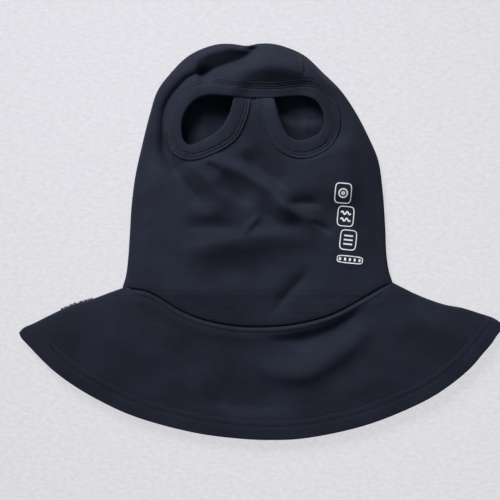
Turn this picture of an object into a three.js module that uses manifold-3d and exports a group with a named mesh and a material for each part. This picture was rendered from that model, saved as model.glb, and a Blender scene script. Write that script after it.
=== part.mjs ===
// A fire-resistant knitted hood with a long cape, laid flat on its back.
// Millimetres. +X is to the wearer's left, +Y towards the crown, +Z up from the floor.
import * as THREE from "three";
import { mergeVertices } from "three/addons/utils/BufferGeometryUtils.js";
import Module from "manifold-3d";

const wasm = await Module();
wasm.setup();

// Outline of the laid hood and cape.
const HOOD_WIDTH = 283; // across the hood above the neck
const HOOD_LENGTH = 270; // neck corners to the top of the crown
const CAPE_SPAN = 534; // from tip to tip
const CAPE_DEPTH = 167; // neck corners to the lowest point of the hem
const FRONT_SEAM_DIP = 43; // sag of the front neck seam below the neck corners
const BACK_SEAM_DIP = 16; // the same for the back neck seam

// Fullness: how far the front layer stands up from its rolled edge.
const HOOD_RISE = 18;
const NECK_RISE = 9;
const HEM_RISE = 4.6;
const RISE_SPREAD = 90; // distance from the edge at which the rise is complete

// Cloth.
const CLOTH = 2.2; // double knit
const HEM_CLOTH = 3.2; // turned hem
const HEM_DEPTH = 20;
const ROLL = 3.7; // radius of the rolled edge
const GAP = 0.3; // clearance between neighbouring pieces
const SEAM_GROOVE = 2; // depth of the neck seam below the cloth beside it
const SEAM_REACH = 7; // width of the dip on each side of the neck seam

// Eye openings and their folded tapes.
const EYE_WIDTH = 56.6;
const EYE_HEIGHT = 53.4;
const EYE_SPACING = 99.4; // centre to centre
const EYE_DROP = 86; // centre below the top of the crown
const EYE_SHIFT = -4.4; // middle of the pair from the axis of the hood
const TAPE_WIDTH = 18.7;
const TAPE_PLY = 1.4;
const TAPE_LIFT = 0.5; // clearance between a ply and the cloth that it grips

// Label and marks.
const LABEL_LENGTH = 36;
const LABEL_THICKNESS = 0.9;
const LABEL_SHOWN = 1.6; // how far it stands out of the side seam
const LABEL_HIDDEN = 5;
const MARK_WIDTH = 19;
const MARK_HEIGHT = 23;
const BAR_WIDTH = 30;
const BAR_HEIGHT = 8;
const MARK_THICKNESS = 0.4;

const { lerp, clamp, smoothstep } = THREE.MathUtils;

// Free edge of the hood, from the left neck corner over the crown to the right neck corner.
// Columns: across in half hood widths, up in hood lengths.
const HOOD_EDGE = [
  [-1.053, 0], [-1.026, 0.049], [-1.008, 0.122], [-0.995, 0.228], [-0.981, 0.338],
  [-0.952, 0.456], [-0.902, 0.579], [-0.84, 0.709], [-0.777, 0.807], [-0.672, 0.88],
  [-0.556, 0.941], [-0.431, 0.977], [-0.307, 0.996], [-0.198, 0.997], [-0.082, 0.99],
  [0.004, 0.997], [0.105, 0.998], [0.222, 0.984], [0.369, 0.948], [0.509, 0.88],
  [0.649, 0.807], [0.766, 0.717], [0.867, 0.615], [0.941, 0.521], [0.976, 0.399],
  [0.995, 0.257], [1.007, 0.13], [1.026, 0.065], [1.053, 0.022],
];
const CROWN_ROWS = { start: 9, end: 20 }; // rows at which the crown begins and ends

// Front neck seam. Columns: across in half hood widths, down in seam dips.
const FRONT_SEAM = [
  [-0.952, 0.038], [-0.851, 0.102], [-0.758, 0.256], [-0.641, 0.499], [-0.525, 0.691],
  [-0.369, 0.857], [-0.175, 0.972], [0.035, 1], [0.253, 0.947], [0.447, 0.819],
  [0.602, 0.647], [0.735, 0.422], [0.875, 0.166], [0.983, -0.038],
];
const BACK_SEAM = [
  [-0.8, 0.25], [-0.5, 0.7], [0, 1], [0.5, 0.7], [0.8, 0.25],
];

// Sides of the cape. Columns: share of the way from neck corner to tip, outward in chords.
const LEFT_SIDE = [[0.132, 0.008], [0.283, 0.015], [0.457, 0.035], [0.622, 0.036], [0.85, 0.024]];
const RIGHT_SIDE = [[0.085, -0.009], [0.198, -0.02], [0.353, -0.024], [0.495, -0.016],
  [0.63, 0.006], [0.772, 0.015], [0.915, 0.02]];

// Hem from the left tip to the right tip. Columns: across in half spans, down in depths.
const HEM = [
  [-0.985, 0.265], [-0.974, 0.315], [-0.95, 0.369], [-0.851, 0.527], [-0.764, 0.632],
  [-0.653, 0.738], [-0.509, 0.843], [-0.27, 0.949], [-0.093, 0.988], [0.056, 1],
  [0.2, 0.988], [0.459, 0.896], [0.694, 0.738], [0.797, 0.632], [0.875, 0.527],
  [0.933, 0.422], [0.962, 0.369], [0.987, 0.313], [1.013, 0.24],
];

// Lips of the eye openings, as one clockwise path over both eyes.
// Columns: across and up in half eye sizes from the eye's centre, width in tape widths.
const LEFT_LIP = [
  [1.03, 1.25, 1.08], [0.99, 0.87, 1.08], [0.9, 0.47, 1.08], [0.77, 0.1, 1.1],
  [0.59, -0.25, 1.1], [0.3, -0.54, 1.06], [-0.05, -0.76, 1.02], [-0.4, -0.95, 0.96],
  [-0.71, -1.03, 0.92], [-0.92, -0.87, 0.95], [-1.01, -0.52, 1], [-1, -0.1, 1.06],
  [-0.89, 0.29, 1.08], [-0.67, 0.62, 1.06], [-0.4, 0.85, 1.06], [-0.05, 0.97, 1.06],
  [0.45, 0.97, 1], [0.98, 0.91, 0.92],
];
const RIGHT_LIP = [
  [-0.96, 0.9, 0.88], [-0.42, 0.97, 0.86], [0.05, 0.99, 0.92], [0.4, 0.92, 0.97],
  [0.71, 0.7, 0.98], [0.9, 0.37, 0.97], [0.96, 0.02, 0.98], [0.89, -0.33, 1],
  [0.73, -0.58, 1.02], [0.44, -0.75, 1.06], [0.13, -0.85, 1.06], [-0.14, -0.82, 1.04],
  [-0.4, -0.69, 1], [-0.59, -0.39, 0.98], [-0.75, 0.02, 0.97], [-0.88, 0.52, 1.02],
  [-0.96, 0.87, 1.08], [-1, 1.25, 1.08],
];
// Rows at which the brow band meets the nose bindings, and from the path's end to the corner.
const LIP_ROWS = { leftJoin: 8, rightJoin: 8, corner: 1 };

// Folds of the hood front. Paths: across in half hood widths, up in hood lengths.
const HOOD_FOLDS = [
  { fold: "crown overlap", height: 5, width: 8,
    path: [[0.02, 0.97], [-0.14, 0.925], [-0.34, 0.89], [-0.52, 0.865], [-0.64, 0.83], [-0.75, 0.74]] },
  { fold: "crown hollow", height: -4.5, width: 8,
    path: [[-0.1, 0.965], [-0.28, 0.945], [-0.42, 0.925], [-0.54, 0.9], [-0.66, 0.85], [-0.76, 0.77]] },
  { fold: "forehead hollow", height: -2, width: 9,
    path: [[-0.26, 0.87], [-0.06, 0.855], [0.25, 0.855]] },
  { fold: "temple valley", height: -3, width: 8,
    path: [[-0.76, 0.72], [-0.77, 0.65], [-0.76, 0.58], [-0.7, 0.517]] },
  { fold: "cheek valley", height: -4, width: 9,
    path: [[-0.7, 0.517], [-0.62, 0.464], [-0.525, 0.411], [-0.447, 0.346], [-0.393, 0.29]] },
  { fold: "ridge under the left eye", height: 4, width: 8,
    path: [[-0.72, 0.55], [-0.65, 0.505], [-0.525, 0.477], [-0.4, 0.448], [-0.276, 0.387], [-0.152, 0.334]] },
  { fold: "valley between the cheek ridges", height: -3, width: 7,
    path: [[-0.37, 0.5], [-0.3, 0.44], [-0.198, 0.411], [-0.058, 0.367]] },
  { fold: "nose ridge", height: 4, width: 8,
    path: [[-0.284, 0.52], [-0.175, 0.485], [-0.058, 0.45], [0.082, 0.42], [0.175, 0.4]] },
  { fold: "nose valley", height: -3.5, width: 7,
    path: [[-0.15, 0.545], [-0.05, 0.515], [0.05, 0.485], [0.175, 0.45]] },
  { fold: "chin ridge", height: 4, width: 8,
    path: [[0.035, 0.411], [0.144, 0.354], [0.253, 0.314], [0.377, 0.281], [0.5, 0.25]] },
  { fold: "chin valley", height: -3, width: 8,
    path: [[0.02, 0.34], [0.144, 0.285], [0.237, 0.245]] },
  { fold: "jaw valley", height: -3, width: 10,
    path: [[-0.634, 0.232], [-0.408, 0.24], [-0.198, 0.25]] },
  { fold: "jaw ridge", height: 3, width: 11,
    path: [[-0.634, 0.134], [-0.408, 0.159], [-0.175, 0.183], [0.097, 0.208], [0.5, 0.191]] },
  { fold: "chin hollow", height: -2, width: 10,
    path: [[-0.447, 0.085], [-0.058, 0.085], [0.369, 0.105]] },
];

// Folds of the cape front. Paths: across in half spans, down in depths.
const CAPE_FOLDS = [
  { fold: "shoulder hollow", height: -2.4, width: 12,
    path: [[0.45, 0.13], [0.389, 0.22], [0.299, 0.33], [0.175, 0.38], [0.019, 0.37]] },
  { fold: "drape ridge", height: 2.6, width: 11,
    path: [[0.521, 0.158], [0.431, 0.31], [0.34, 0.461], [0.237, 0.566], [0.134, 0.573], [-0.051, 0.46]] },
];
const FOLD_TAPER = 0.22; // share of a fold's length over which each end fades out
const FOLD_CALM = 11; // folds fade out over this distance beside the tapes and the seam
const TAPE_CALM = 1.25; // width beside the lip that is kept free of folds, in tape widths

// Places of the marks. Columns: across in half hood widths, up in hood lengths, turn in degrees.
const MARKS = {
  mark_upper: { across: 0.657, up: 0.386, turn: -4, width: MARK_WIDTH, height: MARK_HEIGHT },
  mark_middle: { across: 0.68, up: 0.293, turn: -5, width: MARK_WIDTH, height: MARK_HEIGHT },
  mark_lower: { across: 0.7, up: 0.197, turn: -6, width: MARK_WIDTH, height: MARK_HEIGHT },
  mark_bar: { across: 0.713, up: 0.117, turn: -6, width: BAR_WIDTH, height: BAR_HEIGHT },
};
const MARK_CORNER = 0.3; // rounding of a mark's corners: 0 is square, 0.5 is round
const LABEL_PLACE = 0.36; // share of the way from the left neck corner to the tip

// Numbers of cells.
const HOOD_CELLS = { across: 26, along: 27 };
const HOOD_BACK_CELLS = { across: 12, along: 10 };
const CAPE_CELLS = { across: 44, along: 9 };
const CAPE_BACK_CELLS = { across: 26, along: 2 };
const TAPE_STEP = 6; // distance between the stations of a tape
const SAMPLES = { edge: 150 }; // points of each sampled edge
const ROLL_ROWS = [0, 0.15, 0.5, 1]; // grid lines across the rolled edge, in roll radii

// Curves

/** Smooth curve through rows of x, y and a carried third value. */
function smoothCurve(rows) {
  const points = rows.map(([x, y, carried = 0]) => new THREE.Vector3(x, y, carried));
  const curve = new THREE.CatmullRomCurve3(points, false, "centripetal");
  curve.arcLengthDivisions = (rows.length - 1) * 24;
  return curve;
}

/** Share of a curve's length at one of the rows that it passes through. */
function shareAtRow(curve, row) {
  const lengths = curve.getLengths();
  const step = (lengths.length - 1) / (curve.points.length - 1);
  return lengths[row * step] / lengths[lengths.length - 1];
}

/** The part of a curve between two shares of its length, as a function of 0 to 1. */
function stretch(curve, from, to) {
  return (share) => curve.getPointAt(clamp(lerp(from, to, share), 0, 1));
}

function sample(side, count) {
  return Array.from({ length: count + 1 }, (_, i) => side(i / count));
}

/** Rows that leave the straight line from start to end by an outward share of its length. */
function bowedRows(start, end, table, hand) {
  const run = end.clone().sub(start);
  const out = new THREE.Vector3(-run.y, run.x, 0).multiplyScalar(hand);
  const rows = table.map(([along, outward]) =>
    start.clone().addScaledVector(run, along).addScaledVector(out, outward));
  return [start, ...rows, end].map((p) => [p.x, p.y]);
}

const hoodPlace = ([across, up]) => [across * HOOD_WIDTH / 2, up * HOOD_LENGTH];
const capePlace = ([across, down]) => [across * CAPE_SPAN / 2, -down * CAPE_DEPTH];

const hoodEdge = smoothCurve(HOOD_EDGE.map(hoodPlace));
const hem = smoothCurve(HEM.map(capePlace));
const leftNeck = hoodEdge.getPoint(0);
const rightNeck = hoodEdge.getPoint(1);
const leftTip = hem.getPoint(0);
const rightTip = hem.getPoint(1);
const leftSide = smoothCurve(bowedRows(leftNeck, leftTip, LEFT_SIDE, -1));
const rightSide = smoothCurve(bowedRows(rightNeck, rightTip, RIGHT_SIDE, 1));

/** Neck seam between the two neck corners, for a given dip. */
function neckSeam(table, dip) {
  const rows = table.map(([across, down]) => [across * HOOD_WIDTH / 2, -down * dip]);
  return smoothCurve([[leftNeck.x, leftNeck.y], ...rows, [rightNeck.x, rightNeck.y]]);
}

const frontSeam = neckSeam(FRONT_SEAM, FRONT_SEAM_DIP);
const backSeam = neckSeam(BACK_SEAM, BACK_SEAM_DIP);

/** Rows of one eye's lip, placed on the hood. */
function lipRows(table, centre) {
  return table.map(([across, up, width]) =>
    [centre + across * EYE_WIDTH / 2, HOOD_LENGTH - EYE_DROP + up * EYE_HEIGHT / 2, width]);
}

const lip = smoothCurve([
  ...lipRows(LEFT_LIP, EYE_SHIFT - EYE_SPACING / 2),
  ...lipRows(RIGHT_LIP, EYE_SHIFT + EYE_SPACING / 2),
]);
const lipRow = {
  leftStart: LIP_ROWS.corner,
  leftJoin: LIP_ROWS.leftJoin,
  leftEnd: LEFT_LIP.length - 1,
  rightStart: LEFT_LIP.length,
  rightJoin: LEFT_LIP.length + LIP_ROWS.rightJoin,
  rightEnd: LEFT_LIP.length + RIGHT_LIP.length - 1 - LIP_ROWS.corner,
};

/** The part of the lip between two rows, lengthened or shortened at its ends by a distance. */
function lipPart(fromRow, toRow, startExtra = 0, endExtra = 0) {
  const length = lip.getLength();
  const from = shareAtRow(lip, fromRow) - startExtra / length;
  const to = shareAtRow(lip, toRow) + endExtra / length;
  return { from, to, length: (to - from) * length };
}

// Distances

/** Nearest place of a polyline: the distance, and the direction from it to the point. */
function nearest(line, x, y) {
  let best = { distance: Infinity };
  for (let i = 1; i < line.length; i++) {
    const start = line[i - 1];
    const dx = line[i].x - start.x;
    const dy = line[i].y - start.y;
    const along = clamp(((x - start.x) * dx + (y - start.y) * dy) / (dx * dx + dy * dy), 0, 1);
    const awayX = x - start.x - along * dx;
    const awayY = y - start.y - along * dy;
    const distance = Math.hypot(awayX, awayY);
    if (distance < best.distance)
      best = { distance, awayX, awayY, dx, dy, share: (i - 1 + along) / (line.length - 1) };
  }
  return best;
}

/** Distance from the free edge, zero on it, and the unit direction from it into the cloth. */
function fromFreeEdge(x, y) {
  const { distance, awayX, awayY, dx, dy } = nearest(freeEdge, x, y);
  const square = new THREE.Vector2(dy, -dx).normalize();
  const onEdge = square.x * awayX + square.y * awayY < ROLL / 20;
  if (onEdge) return { distance: 0, into: square };
  return { distance, into: new THREE.Vector2(awayX, awayY).normalize() };
}

const freeEdge = [
  ...sample(stretch(leftSide, 1, 0), SAMPLES.edge),
  ...sample(stretch(hoodEdge, 0, 1), SAMPLES.edge).slice(1),
  ...sample(stretch(rightSide, 0, 1), SAMPLES.edge).slice(1),
];
const seamLine = sample(stretch(frontSeam, 0, 1), SAMPLES.edge);
const lipLine = sample(stretch(lip, 0, 1), SAMPLES.edge);

// Heights of the front layer

function foldLines(table, place) {
  return table.map(({ height, width, path }) => {
    const line = sample(stretch(smoothCurve(path.map(place)), 0, 1), 4 * path.length);
    return { height, width, line };
  });
}

const hoodFolds = foldLines(HOOD_FOLDS, hoodPlace);
const capeFolds = foldLines(CAPE_FOLDS, capePlace);

function foldHeight(folds, x, y) {
  return folds.reduce((sum, { height, width, line }) => {
    const { distance, share } = nearest(line, x, y);
    const fade = smoothstep(Math.min(share, 1 - share), 0, FOLD_TAPER);
    return sum + height * fade * Math.exp(-((distance / width) ** 2));
  }, 0);
}

function fullness(y) {
  if (y < 0) return lerp(NECK_RISE, HEM_RISE, smoothstep(-y, 0, CAPE_DEPTH));
  return lerp(NECK_RISE, HOOD_RISE, smoothstep(y, 0, HOOD_LENGTH / 2));
}

/** Height of the front's outer face above its rolled edge. */
function softHeight(x, y) {
  const edge = fromFreeEdge(x, y).distance;
  const seam = nearest(seamLine, x, y);
  const spread = 1 - (1 - Math.min(edge / RISE_SPREAD, 1)) ** 2;
  const beside = nearest(lipLine, x, y).distance - TAPE_CALM * TAPE_WIDTH;
  const calm = smoothstep(beside, 0, FOLD_CALM)
    * smoothstep(edge, ROLL, ROLL + FOLD_CALM)
    * smoothstep(seam.distance, 0, FOLD_CALM);
  const folds = seam.awayY > 0 ? hoodFolds : capeFolds;
  const groove = SEAM_GROOVE * Math.exp(-((seam.distance / SEAM_REACH) ** 2)) * spread;
  return fullness(y) * spread + calm * foldHeight(folds, x, y) - groove;
}

/** Height and slope of the roll, a quarter circle, at a distance from the free edge. */
function rollAt(distance) {
  const left = 1 - clamp(distance / ROLL, 0, 1);
  const height = Math.sqrt(1 - left * left);
  return { height: ROLL * height, slope: left / Math.max(height, 1e-3) };
}

/** Outer face of the front layer: its height and its unit normal. */
function frontFace(x, y) {
  const { distance, into } = fromFreeEdge(x, y);
  const roll = rollAt(distance);
  const slopeX = (softHeight(x + 1, y) - softHeight(x - 1, y)) / 2 + roll.slope * into.x;
  const slopeY = (softHeight(x, y + 1) - softHeight(x, y - 1)) / 2 + roll.slope * into.y;
  const normal = new THREE.Vector3(-slopeX, -slopeY, distance > 0 ? 1 : 0);
  const height = ROLL + GAP / 2 + roll.height + softHeight(x, y);
  return { height, normal: normal.normalize() };
}

/** Outer face of the back layer, which lies on the floor. */
function backFace(x, y) {
  const { distance, into } = fromFreeEdge(x, y);
  const roll = rollAt(distance);
  const normal = new THREE.Vector3(-into.x * roll.slope, -into.y * roll.slope, distance > 0 ? -1 : 0);
  const height = (ROLL - GAP / 2) * (1 - roll.height / ROLL);
  return { height, normal: normal.normalize() };
}

// Solids

function geometryOf(points, faces) {
  const geometry = new THREE.BufferGeometry();
  geometry.setAttribute("position", new THREE.Float32BufferAttribute(points.flatMap((p) => [p.x, p.y, p.z]), 3));
  geometry.setIndex(faces);
  geometry.computeVertexNormals();
  return geometry;
}

function solidOf(geometry) {
  const bare = new THREE.BufferGeometry();
  bare.setAttribute("position", geometry.getAttribute("position"));
  bare.setIndex(geometry.getIndex());
  const merged = mergeVertices(bare, 1e-3);
  return new wasm.Manifold(new wasm.Mesh({
    numProp: 3,
    vertProperties: merged.attributes.position.array,
    triVerts: new Uint32Array(merged.index.array),
  }));
}

function geometryOfSolid(solid) {
  const { vertProperties, triVerts } = solid.getMesh();
  const geometry = new THREE.BufferGeometry();
  geometry.setAttribute("position", new THREE.BufferAttribute(vertProperties, 3));
  geometry.setIndex(Array.from(triVerts));
  geometry.computeVertexNormals();
  return geometry;
}

/** A geometry with others cut out of it. */
function cut(geometry, ...cutters) {
  return geometryOfSolid(cutters.reduce((rest, cutter) => rest.subtract(solidOf(cutter)), solidOf(geometry)));
}

/** Upright prism on a plan outline, taller than everything it cuts. */
function prism(outline) {
  const reach = HOOD_RISE + 4 * ROLL + HOOD_WIDTH / 8;
  const shape = new THREE.Shape(outline.map((p) => new THREE.Vector2(p.x, p.y)));
  const geometry = new THREE.ExtrudeGeometry(shape, { depth: 2 * reach, bevelEnabled: false });
  geometry.translate(0, 0, -reach);
  return geometry;
}

/** Closed sheet between two grids of points with the same rows and columns. */
function sheetBetween(upper, lower) {
  const rows = upper.length;
  const columns = upper[0].length;
  const faces = [];
  const at = (layer, r, c) => (layer * rows + r) * columns + c;
  const quad = (a, b, c, d) => faces.push(a, b, c, a, c, d);
  for (let r = 0; r < rows - 1; r++)
    for (let c = 0; c < columns - 1; c++) {
      quad(at(0, r, c), at(0, r, c + 1), at(0, r + 1, c + 1), at(0, r + 1, c));
      quad(at(1, r, c), at(1, r + 1, c), at(1, r + 1, c + 1), at(1, r, c + 1));
    }
  const rim = [];
  for (let c = 0; c < columns - 1; c++) rim.push([0, c]);
  for (let r = 0; r < rows - 1; r++) rim.push([r, columns - 1]);
  for (let c = columns - 1; c > 0; c--) rim.push([rows - 1, c]);
  for (let r = rows - 1; r > 0; r--) rim.push([r, 0]);
  rim.forEach(([r, c], i) => {
    const [nextR, nextC] = rim[(i + 1) % rim.length];
    quad(at(1, r, c), at(1, nextR, nextC), at(0, nextR, nextC), at(0, r, c));
  });
  return geometryOf([...upper.flat(), ...lower.flat()], faces);
}

/** Plan points of a patch bounded by four sides that share their corners. */
function coonsNet({ bottom, top, left, right }, acrossLines, alongLines) {
  const corners = [bottom(0), bottom(1), top(0), top(1)];
  return alongLines.map((t) => acrossLines.map((s) => new THREE.Vector2(
    ...["x", "y"].map((axis) => {
      const ruled = lerp(bottom(s)[axis], top(s)[axis], t) + lerp(left(t)[axis], right(t)[axis], s);
      const flat = lerp(
        lerp(corners[0][axis], corners[1][axis], s),
        lerp(corners[2][axis], corners[3][axis], s), t);
      return ruled - flat;
    }))));
}

/** Grid lines from 0 to 1 with close lines over the rolled edge at either end. */
function gridLines(cells, size, rolledStart, rolledEnd) {
  const rows = ROLL_ROWS.map((share) => share * ROLL / size);
  const start = rolledStart ? rows : [0];
  const end = rolledEnd ? rows.map((line) => 1 - line).reverse() : [1];
  const from = start[start.length - 1];
  const to = end[0];
  const middle = Array.from({ length: cells - 1 }, (_, i) => lerp(from, to, (i + 1) / cells));
  return [...start, ...middle, ...end];
}

/** A cloth panel: its outer face on the net, and the other face a wall's thickness inside. */
function panel(net, face, facesUp, wallAt) {
  const outer = [];
  const inner = [];
  net.forEach((row, r) => {
    const faces = row.map(({ x, y }) => ({ x, y, ...face(x, y) }));
    outer.push(faces.map(({ x, y, height }) => new THREE.Vector3(x, y, height)));
    inner.push(faces.map(({ x, y, height, normal }) =>
      new THREE.Vector3(x, y, height).addScaledVector(normal, -wallAt(r))));
  });
  return facesUp ? sheetBetween(outer, inner) : sheetBetween(inner, outer);
}

// Panels

const crownStart = shareAtRow(hoodEdge, CROWN_ROWS.start);
const crownEnd = shareAtRow(hoodEdge, CROWN_ROWS.end);

/** A side moved up or down the body, for the clearance at a seam. */
function shifted(side, up) {
  return (share) => side(share).clone().add(new THREE.Vector3(0, up, 0));
}

/** Plan grid of a hood panel above its neck seam. */
function hoodNet(seam, cells) {
  const eased = (side) => (share) => shifted(side, (1 - share) * GAP * 0.7)(share);
  return coonsNet({
    bottom: shifted(stretch(seam, 0, 1), GAP * 0.7),
    top: stretch(hoodEdge, crownStart, crownEnd),
    left: eased(stretch(hoodEdge, 0, crownStart)),
    right: eased(stretch(hoodEdge, 1, crownEnd)),
  }, gridLines(cells.across, HOOD_WIDTH, true, true), gridLines(cells.along, HOOD_LENGTH, false, true));
}

/** Plan grid of a cape panel: row 0 is the hem and the last row is the neck seam. */
function capeNet(seam, cells) {
  const eased = (side) => (share) => shifted(side, -share * GAP * 0.7)(share);
  const sideLength = leftSide.getLength();
  const hemShare = HEM_DEPTH / sideLength;
  const body = gridLines(cells.along, sideLength, false, false)
    .map((share) => lerp(hemShare + CLOTH / sideLength / 2, 1, share));
  return coonsNet({
    bottom: stretch(hem, 0, 1),
    top: shifted(stretch(seam, 0, 1), -GAP * 0.7),
    left: eased(stretch(leftSide, 1, 0)),
    right: eased(stretch(rightSide, 1, 0)),
  }, gridLines(cells.across, CAPE_SPAN, true, true), [0, hemShare / 2, hemShare, ...body]);
}

const HEM_GRID = { rows: 3 }; // rows of a cape grid that lie in the turned hem
const hoodWall = () => CLOTH;
const capeWall = (row) => (row < HEM_GRID.rows ? HEM_CLOTH : CLOTH);

// Tapes

const lipInside = TAPE_PLY;
const lipClear = TAPE_PLY + TAPE_LIFT;

/** Point of the lip line, moved outwards from the opening by a distance. */
function besideLip(share, out) {
  const point = lip.getPointAt(share);
  const run = lip.getTangentAt(share);
  const side = new THREE.Vector2(-run.y, run.x).normalize();
  return { x: point.x + side.x * out, y: point.y + side.y * out, width: point.z };
}

/** Outer and inner heights of the front cloth under a tape. */
function clothAt(x, y) {
  const { height, normal } = frontFace(x, y);
  return { upper: height, lower: height - CLOTH / normal.z };
}

/** Section of a folded tape: points from its outer edge over the lip and back underneath. */
function tapeSection(width) {
  const half = width * 0.55;
  const rise = TAPE_LIFT + TAPE_PLY;
  return [
    { out: width, upper: rise }, { out: half, upper: rise }, { out: TAPE_PLY * 0.8, upper: rise },
    { out: 0, upper: -TAPE_LIFT }, { out: 0, lower: -TAPE_LIFT },
    { out: TAPE_PLY * 0.8, lower: rise }, { out: half, lower: rise }, { out: width * 0.9, lower: rise },
    { out: width * 0.9, lower: TAPE_LIFT }, { out: half, lower: TAPE_LIFT }, { out: lipInside, lower: TAPE_LIFT },
    { out: lipInside, upper: TAPE_LIFT }, { out: half, upper: TAPE_LIFT }, { out: width, upper: TAPE_LIFT },
  ];
}

/** A folded tape that grips the cloth along a part of the lip. */
function tape({ from, to, length }) {
  const stations = Math.ceil(length / TAPE_STEP);
  const points = [];
  const sections = [];
  for (let i = 0; i <= stations; i++) {
    const share = lerp(from, to, i / stations);
    const { width } = besideLip(share, 0);
    const section = tapeSection(width * TAPE_WIDTH);
    const ring = section.map(({ out, upper, lower }) => {
      const { x, y } = besideLip(share, out);
      const cloth = clothAt(x, y);
      const z = upper === undefined ? cloth.lower - lower : cloth.upper + upper;
      return new THREE.Vector3(x, y, z);
    });
    points.push(...ring);
    sections.push(ring.map((p, j) => new THREE.Vector2(section[j].out, p.z)));
  }
  const size = sections[0].length;
  const faces = [];
  for (let i = 0; i < stations; i++)
    for (let j = 0; j < size; j++) {
      const a = i * size + j;
      const b = i * size + (j + 1) % size;
      faces.push(a, b, b + size, a, b + size, a + size);
    }
  const cap = (section) => THREE.ShapeUtils.triangulateShape(section, []);
  cap(sections[0]).forEach(([a, b, c]) => faces.push(c, b, a));
  const last = stations * size;
  cap(sections[stations]).forEach(([a, b, c]) => faces.push(last + a, last + b, last + c));
  return geometryOf(points, faces);
}

/** Plan outline beside a part of the lip, between two distances outwards. */
function lipStrip({ from, to, length }, near, far) {
  const count = Math.ceil(length / TAPE_STEP) * 2;
  const shares = Array.from({ length: count + 1 }, (_, i) => lerp(from, to, i / count));
  const nearSide = shares.map((share) => besideLip(share, near));
  const farSide = shares.map((share) => besideLip(share, far));
  return [...nearSide, ...farSide.reverse()];
}

/** Cutter for one eye opening in the cloth. */
function eyeCutter({ from, to, length }) {
  const count = Math.ceil(length / TAPE_STEP) * 2;
  const shares = Array.from({ length: count + 1 }, (_, i) => lerp(from, to, i / count));
  return prism(shares.map((share) => besideLip(share, lipClear)));
}

const bridge = lipPart(lipRow.leftEnd, lipRow.rightStart, TAPE_WIDTH / 3, TAPE_WIDTH / 3);
const browShadow = prism(lipStrip(
  lipPart(lipRow.leftEnd, lipRow.rightStart, TAPE_WIDTH, TAPE_WIDTH), -GAP, 2 * TAPE_WIDTH));

// Small pieces

/** A thin transfer that follows the cloth: a rounded rectangle on a grid. */
function markPatch({ across, up, turn, width, height }) {
  const [centreX, centreY] = hoodPlace([across, up]);
  const angle = THREE.MathUtils.degToRad(turn);
  const lines = [-1, -0.5, 0, 0.5, 1];
  const layer = (lift) => lines.map((b) => lines.map((a) => {
    const local = new THREE.Vector2(
      a * Math.sqrt(1 - MARK_CORNER * b * b) * width / 2,
      b * Math.sqrt(1 - MARK_CORNER * a * a) * height / 2);
    local.rotateAround(new THREE.Vector2(), angle);
    const x = centreX + local.x;
    const y = centreY + local.y;
    return new THREE.Vector3(x, y, frontFace(x, y).height + lift);
  }));
  return sheetBetween(layer(GAP * 1.5 + MARK_THICKNESS), layer(GAP * 1.5));
}

/** Block along the left side seam, used for the label and, larger, for its slot. */
function labelBlock(clearance) {
  const middle = leftSide.getPointAt(LABEL_PLACE);
  const run = leftSide.getTangentAt(LABEL_PLACE);
  const depth = LABEL_SHOWN + LABEL_HIDDEN;
  const block = new THREE.BoxGeometry(
    LABEL_LENGTH + 2 * clearance, depth + 2 * clearance, LABEL_THICKNESS + 2 * clearance);
  block.translate(0, (LABEL_HIDDEN - LABEL_SHOWN) / 2, 0);
  block.rotateZ(Math.atan2(run.y, run.x));
  block.translate(middle.x, middle.y, ROLL);
  return block;
}

// Assembly

const NAVY = 0x23283a;
const FINISHES = {
  knit: { color: NAVY, roughness: 0.95, metalness: 0 },
  tape: { color: 0x262c3c, roughness: 0.9, metalness: 0 },
  label: { color: 0xb9b4b6, roughness: 0.8, metalness: 0 },
  transfer: { color: 0xd6d7da, roughness: 0.6, metalness: 0 },
};

const group = new THREE.Group();
group.name = "fire_resistant_balaclava";

function add(name, geometry, finish) {
  const mesh = new THREE.Mesh(geometry, new THREE.MeshStandardMaterial(FINISHES[finish]));
  mesh.name = name;
  group.add(mesh);
}

const slot = labelBlock(GAP);
add("hood_front", cut(
  panel(hoodNet(frontSeam, HOOD_CELLS), frontFace, true, hoodWall),
  eyeCutter(lipPart(lipRow.leftStart, lipRow.leftEnd, TAPE_PLY, 0)),
  eyeCutter(lipPart(lipRow.rightStart, lipRow.rightEnd, 0, TAPE_PLY)),
  prism(lipStrip(bridge, -GAP, lipClear)),
), "knit");
add("hood_back", panel(hoodNet(backSeam, HOOD_BACK_CELLS), backFace, false, hoodWall), "knit");
add("cape_front", cut(panel(capeNet(frontSeam, CAPE_CELLS), frontFace, true, capeWall), slot), "knit");
add("cape_back", cut(panel(capeNet(backSeam, CAPE_BACK_CELLS), backFace, false, capeWall), slot), "knit");

const joinGap = -GAP;
add("brow_band", tape(lipPart(lipRow.leftJoin, lipRow.rightJoin, joinGap, joinGap)), "tape");
add("left_nose_binding", cut(
  tape(lipPart(0, lipRow.leftJoin, 0, joinGap)), browShadow), "tape");
add("right_nose_binding", cut(
  tape(lipPart(lipRow.rightJoin, lipRow.rightEnd + LIP_ROWS.corner, joinGap, 0)), browShadow), "tape");

add("side_label", labelBlock(0), "label");
Object.entries(MARKS).forEach(([name, place]) => add(name, markPatch(place), "transfer"));

// The frame's origin is under the middle of the laid outline.
const extent = new THREE.Box3().setFromObject(group);
const middle = extent.getCenter(new THREE.Vector3());
group.children.forEach((mesh) => mesh.geometry.translate(-middle.x, -middle.y, -extent.min.z));

export default group;
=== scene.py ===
"""Looks of a fire-resistant knitted balaclava with a long cape, lying flat on its back.

Millimetres are used for every size and turned to metres when a mesh is made. The frame is the
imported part's: +X across the picture to the right, +Y towards the crown, +Z up from the floor.
"""

import logging
import math
from dataclasses import dataclass, field
from enum import Enum
from typing import Callable, Sequence

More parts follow.
